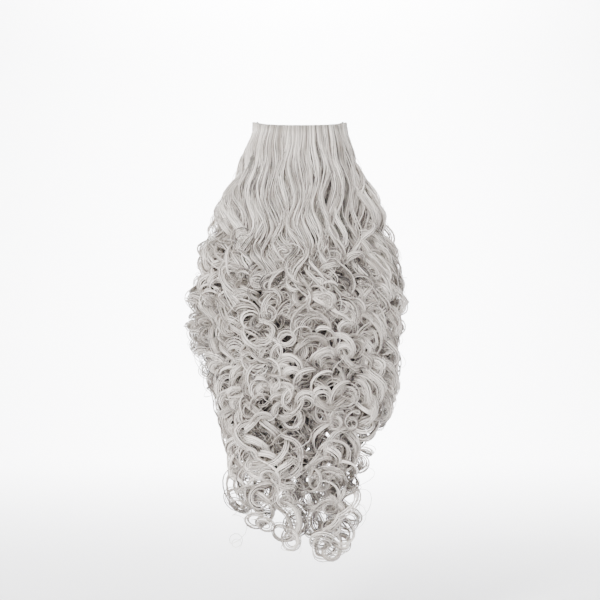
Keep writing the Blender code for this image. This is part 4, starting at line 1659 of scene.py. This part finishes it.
@dataclass
class FaceBase:
    """The fabric cup under the hair, with its bound edge and the sewn rows of weft tape."""

    breadth: float = 146.0
    depth: float = 88.0
    chin_drop: float = 100.0
    tuck: float = 14.0
    jaw_rise: float = 66.0
    wall: float = 1.6
    columns: int = 64
    courses: int = 18
    # Half the breadth of the cloth when it lies flat, for the knit's coordinates.
    flat_half: float = 130.0
    # Half the breadth and half the thickness of the binding and of the weft tape.
    binding: tuple[float, float] = (2.4, 1.7)
    weft: tuple[float, float] = (2.0, 0.7)
    weft_reach: float = 0.96
    # The weft rows, as shares of the way down the cup.
    weft_rows: tuple[float, ...] = (0.10, 0.24, 0.38, 0.52, 0.66, 0.80, 0.92)
    # drop as a share of the chin's, breadth, sweep, and how far the front lies behind the lip
    face: tuple[tuple[float, ...], ...] = (
        (0.00, 1.00, 1.00, 0.00), (0.20, 0.99, 1.00, -0.15), (0.45, 0.95, 0.98, -0.25),
        (0.70, 0.86, 0.92, -0.10), (0.88, 0.74, 0.82, 0.35), (1.00, 0.62, 0.72, 1.00),
    )

    def drop(self, form: BeardForm, side: float, down: float) -> float:
        """Gives the drop at a share of the way down the base."""
        top, bottom = -form.cheek_rise * side * side, self.chin_drop - self.jaw_rise * side * side
        return top + (bottom - top) * down

    def point(self, form: BeardForm, side: float, drop: float, out: float) -> Vector:
        """Finds a point of the base.

        Args:
            form: The beard's form.
            side: The place across, from -1 to 1.
            drop: The drop in mm.
            out: How far outwards of the inner face, in mm.

        Returns:
            The point in metres.
        """
        table = np.array(self.face)
        at = max(drop, 0.0) / self.chin_drop
        breadth, sweep, behind = (
            float(np.interp(at, table[:, 0], table[:, column])) for column in (1, 2, 3)
        )
        half, deep = self.breadth / 2 * breadth, self.depth * sweep
        flat = float(eased(np.array(drop / (2 * form.chin_drop))))
        level_turn = math.asin(side * math.sin(form.base_arc))
        turn = float(mix(side * form.base_arc, level_turn, flat))
        along = Vector((half * math.cos(turn), deep * math.sin(turn), 0)).normalized()
        outward = Vector((along.y, -along.x, 0))
        back = self.tuck * behind + deep * (1 - math.cos(turn))
        place = Vector((half * math.sin(turn), back, -drop))
        return (place + outward * out) * MM

    def cup(self, form: BeardForm, material: bpy.types.Material) -> None:
        """Builds the knitted cup from a bent grid with a wall.

        Args:
            form: The beard's form.
            material: The knitted fabric.
        """
        clear = 0.1
        mesh = bmesh.new()
        bmesh.ops.create_grid(mesh, x_segments=self.columns, y_segments=self.courses, size=1)
        cloth = mesh.verts.layers.float_vector.new("cloth")
        for vertex in mesh.verts:
            side, down = vertex.co.x, (1 - vertex.co.y) / 2
            drop = self.drop(form, side, down)
            vertex[cloth] = Vector((side * self.flat_half, drop, 0))
            vertex.co = self.point(form, side, drop, clear)
        bmesh.ops.recalc_face_normals(mesh, faces=list(mesh.faces))
        if sum(f.normal.y for f in mesh.faces) > 0:
            bmesh.ops.reverse_faces(mesh, faces=list(mesh.faces))
        bmesh.ops.solidify(mesh, geom=list(mesh.faces), thickness=-self.wall * MM)
        bmesh.ops.recalc_face_normals(mesh, faces=list(mesh.faces))
        made = smooth_mesh(mesh, "face_base_knit")
        add_piece("face_base_knit", made, material, ["face_base"])

    def bound_edge(self, form: BeardForm, material: bpy.types.Material) -> None:
        """Sweeps the folded tape that binds the cup's edge all round.

        Args:
            form: The beard's form.
            material: The woven tape.
        """
        across, upright = 80, 10
        spots = [(-1 + 2 * i / across, 0.0) for i in range(across)]
        spots += [(1.0, i / upright) for i in range(upright)]
        spots += [(1 - 2 * i / across, 1.0) for i in range(across)]
        spots += [(-1.0, 1 - i / upright) for i in range(upright)]
        # The tape's middle line lies this far inside the edge, so that the tape hangs over it.
        inset, half_arc = self.binding[0] - 0.6, 125
        places = [
            (s * (1 - inset / half_arc), self.drop(form, s, down) + inset * (1 - 2 * down))
            for s, down in spots
        ]
        middle = self.wall / 2
        line = [self.point(form, s, drop, middle) for s, drop in places]
        outs = [
            self.point(form, s, drop, middle + 1) - at for (s, drop), at in zip(places, line)
        ]
        sweep_tape(
            "face_base_binding", line, outs, self.binding, True, material,
            ["face_base"],
        )

    def wefts(self, form: BeardForm, material: bpy.types.Material) -> None:
        """Lays the rows of weft tape on the inside of the cup.

        Args:
            form: The beard's form.
            material: The woven tape.
        """
        steps, sunk = 70, -0.15
        for index, down in enumerate(self.weft_rows):
            sides = [-self.weft_reach + 2 * self.weft_reach * i / steps for i in range(steps + 1)]
            drops = [self.drop(form, side, down) for side in sides]
            line = [self.point(form, side, drop, sunk) for side, drop in zip(sides, drops)]
            outs = [
                self.point(form, side, drop, sunk + 1) - at
                for side, drop, at in zip(sides, drops, line)
            ]
            sweep_tape(
                f"weft_row_{index + 1}", line, outs, self.weft, False, material,
                ["face_base"],
            )

    def build(self, form: BeardForm, knit: bpy.types.Material, tape: bpy.types.Material) -> None:
        """Builds the cup, its binding and its weft rows.

        Args:
            form: The beard's form.
            knit: The knitted fabric of the cup.
            tape: The tape of the binding and the weft rows.
        """
        self.cup(form, knit)
        self.bound_edge(form, tape)
        self.wefts(form, tape)
        LOG.info("face base: cup, binding and %d weft rows", len(self.weft_rows))


@dataclass
class HeadStrap:
    """The woven elastic round the back of the head, sewn inside the base's ends."""

    width: float = 20.0
    wall: float = 1.4
    ribs: int = 7
    reach: float = 104.0
    lap: float = 18.0
    drop: float = 6.0
    seam_gap: float = 0.4
    lap_steps: int = 6
    arc_steps: int = 84
    # The box of stitches: its ends, as shares of half the base, and half its height.
    box: tuple[float, float] = (0.022, 0.175)
    box_rise: float = 8.0
    upright_reach: float = 7.5
    upright_stitches: int = 8
    level_stitches: int = 6
    # Half a stitch's length, breadth and height.
    stitch: tuple[float, float, float] = (1.05, 0.32, 0.3)

    def line(self, form: BeardForm, base: FaceBase) -> tuple[list[Vector], list[Vector]]:
        """Finds the strap's middle line.

        Args:
            form: The beard's form.
            base: The base that it is sewn to.

        Returns:
            The points in metres from the right end round to the left, and the way outwards.
        """
        inset = -self.seam_gap - self.wall / 2
        lap = self.lap / base.depth
        laps = [
            base.point(form, -1 + lap * i / self.lap_steps, self.drop, inset)
            for i in range(self.lap_steps + 1)
        ]
        start = laps[0]
        arc = []
        for i in range(1, self.arc_steps):
            turn = math.pi * i / self.arc_steps
            back = start.y + self.reach * MM * math.sin(turn)
            arc.append(Vector((start.x * math.cos(turn), back, -self.drop * MM)))
        points = [*reversed(laps), *arc, *[Vector((-p.x, p.y, p.z)) for p in laps]]
        outs = []
        for i in range(len(points)):
            way = points[min(i + 1, len(points) - 1)] - points[max(i - 1, 0)]
            outs.append(Vector((-way.y, way.x, 0)).normalized())
        return points, outs

    def spots(self) -> list[tuple[float, float, bool]]:
        """Lists one end's stitches.

        Returns:
            For each stitch its share of the way in from the base's end, its height above the
            band's middle in mm, and whether it lies level.
        """
        near, far = self.box
        made: list[tuple[float, float, bool]] = []
        for i in range(self.upright_stitches):
            rise = -self.upright_reach
            rise += 2 * self.upright_reach * i / (self.upright_stitches - 1)
            made += [(near, rise, False), (far, rise, False)]
        for i in range(self.level_stitches):
            share = near + (far - near) * (i + 0.5) / self.level_stitches
            made += [(share, -self.box_rise, True), (share, self.box_rise, True)]
        return made

    def stitches(self, form: BeardForm, base: FaceBase, material: bpy.types.Material) -> None:
        """Sews each end down with a box of thread stitches.

        Args:
            form: The beard's form.
            base: The base that the strap is sewn to.
            material: The thread.
        """
        mesh = bmesh.new()
        inset = -self.seam_gap - self.wall - 0.1
        up = Vector((0, 0, 1))
        half_length, half_breadth, half_height = (size * MM for size in self.stitch)
        for hand in Hand:
            for share, rise, level in self.spots():
                side = hand.value * (1 - share)
                place = base.point(form, side, self.drop, inset)
                next_place = base.point(form, side - hand.value * 0.01, self.drop, inset)
                ahead = (next_place - place).normalized()
                place.z += rise * MM
                out = Vector((-ahead.y, ahead.x, 0))
                long_way, short_way = (ahead, up) if level else (up, ahead)
                ball = bmesh.ops.create_icosphere(mesh, subdivisions=2, radius=1.0)
                for vertex in ball["verts"]:
                    x, y, z = vertex.co
                    vertex.co = place + long_way * (x * half_length)
                    vertex.co += short_way * (y * half_breadth) + out * (z * half_height)
        bmesh.ops.recalc_face_normals(mesh, faces=list(mesh.faces))
        made = smooth_mesh(mesh, "strap_stitches")
        add_piece("strap_stitches", made, material, ["head_strap"])

    def build(
        self,
        form: BeardForm,
        base: FaceBase,
        elastic: bpy.types.Material,
        thread: bpy.types.Material,
    ) -> None:
        """Builds the ribbed band and its stitches.

        Args:
            form: The beard's form.
            base: The base that the strap is sewn to.
            elastic: The woven elastic.
            thread: The sewing thread.
        """
        points, outs = self.line(form, base)
        sweep_tape(
            "head_strap_elastic", points, outs, (self.width / 2, self.wall / 2), False, elastic,
            ["head_strap"], ribs=self.ribs,
        )
        self.stitches(form, base, thread)
        LOG.info("head strap: %.0f mm elastic round a reach of %.0f mm", self.width, self.reach)


# --------------------------------------------------------------------------- studio


@dataclass
class Studio:
    """The pale floor and backdrop, the soft light and the camera at the photograph's angle."""

    # The set, in metres: the paper's floor, how far back it goes, its height and its curve.
    floor_z: float = -0.86
    flat_reach: float = 1.5
    reach: float = 5.2
    top_z: float = 3.2
    curve: float = 1.8
    curve_steps: int = 16
    spin_steps: int = 96
    # The camera's height and distance, and the frame's breadth where the beard's front is.
    view_height: float = -0.2925
    distance: float = 3.0
    frame_width: float = 0.99
    plane_y: float = -0.045
    sensor: float = 36.0
    air_colour: str = "fbfbff"
    air_strength: float = 0.24
    # name, place, aim, side in metres, watts
    lamps: tuple[tuple[str, tuple[float, ...], tuple[float, ...], float, float], ...] = (
        ("key_softbox", (-1.3, -2.6, 1.5), (0.0, 0.0, -0.3), 0.6, 200),
        ("fill_softbox", (1.9, -2.3, 0.6), (0.0, 0.0, -0.35), 1.6, 14),
        ("back_softbox", (0.9, 2.6, 1.6), (0.0, 0.0, -0.3), 1.0, 14),
        ("wall_wash", (0.0, 4.1, 1.9), (0.0, 5.2, -0.5), 1.8, 520),
        ("floor_wash", (0.0, 3.0, 1.5), (0.0, 2.2, -0.9), 1.8, 300),
    )

    def backdrop(self) -> None:
        """Spins the seamless paper's profile, so that every side of the beard has the same set."""
        mesh = bmesh.new()
        profile = [(0.0, self.floor_z), (self.flat_reach, self.floor_z)]
        for i in range(self.curve_steps + 1):
            turn = math.pi / 2 * i / self.curve_steps
            profile.append((
                self.reach - self.curve + self.curve * math.sin(turn),
                self.floor_z + self.curve - self.curve * math.cos(turn),
            ))
        profile.append((self.reach, self.top_z))
        verts = [mesh.verts.new((x, 0.0, z)) for x, z in profile]
        edges = [mesh.edges.new(pair) for pair in zip(verts, verts[1:])]
        bmesh.ops.spin(
            mesh, geom=verts + edges, cent=(0, 0, 0), axis=(0, 0, 1), dvec=(0, 0, 0),
            angle=2 * math.pi, steps=self.spin_steps, use_merge=True, use_duplicate=False,
        )
        bmesh.ops.remove_doubles(mesh, verts=list(mesh.verts), dist=0.0001)
        bmesh.ops.recalc_face_normals(mesh, faces=list(mesh.faces))
        middle = min(mesh.faces, key=lambda f: f.calc_center_median().xy.length)
        if middle.normal.z < 0:
            bmesh.ops.reverse_faces(mesh, faces=list(mesh.faces))
        made = smooth_mesh(mesh, "studio_floor")
        made.materials.append(StudioPaper().make())
        floor = bpy.data.objects.new("studio_floor", made)
        bpy.context.scene.collection.objects.link(floor)

    def lamp(
        self, name: str, place: Sequence[float], aim: Sequence[float], size: float, watts: float
    ) -> None:
        """Adds a soft box.

        Args:
            name: The light's name.
            place: Where it stands.
            aim: The point that it faces.
            size: Its side, in metres.
            watts: Its power.
        """
        light = bpy.data.lights.new(name, "AREA")
        light.shape, light.size, light.energy = "SQUARE", size, watts
        lamp = bpy.data.objects.new(name, light)
        lamp.location = place
        lamp.rotation_euler = (Vector(aim) - Vector(place)).to_track_quat("-Z", "Y").to_euler()
        lamp.visible_camera = False
        bpy.context.scene.collection.objects.link(lamp)

    def light(self) -> None:
        """Sets the bright room and the soft boxes."""
        world = bpy.data.worlds.new("studio_air")
        world.use_nodes = True
        tree = world.node_tree
        tree.nodes.clear()
        values = {"Color": linear(self.air_colour), "Strength": self.air_strength}
        air = node(tree, "ShaderNodeBackground", {}, values)
        node(tree, "ShaderNodeOutputWorld", {}, {}, {"Surface": air.outputs[0]})
        bpy.context.scene.world = world
        for name, place, aim, size, watts in self.lamps:
            self.lamp(name, place, aim, size, watts)

    def camera(self) -> None:
        """Sets a level camera that sees the beard at the photograph's place and size."""
        seen = bpy.data.cameras.new("camera")
        seen.sensor_width = self.sensor
        seen.lens = self.sensor * (self.distance + self.plane_y) / self.frame_width
        seen.clip_end = 50
        camera = bpy.data.objects.new("camera", seen)
        camera.location = (0.0, -self.distance, self.view_height)
        camera.rotation_euler = (math.radians(90), 0, 0)
        bpy.context.scene.collection.objects.link(camera)
        bpy.context.scene.camera = camera

    def build(self) -> None:
        """Builds the set."""
        self.backdrop()
        self.light()
        self.camera()
        LOG.info("studio: floor at %.2f m", self.floor_z)


def main() -> None:
    """Builds the beard's pieces in order, then the studio."""
    logging.basicConfig(level=logging.INFO, format="%(message)s")
    form = BeardForm()
    fibre, packed = CrimpedFibre().make(), PackedFibrePaintedShade().make()
    knit, tape = KnittedFabric().make(), WeftTape().make()
    elastic, thread = WovenElastic().make(), SewingThread().make()
    base = FaceBase()
    base.build(form, knit, tape)
    HeadStrap().build(form, base, elastic, thread)
    InnerMass().build(form, packed)
    BeardHair().build(form, fibre)
    Studio().build()


if __name__ == "__main__":
    main()
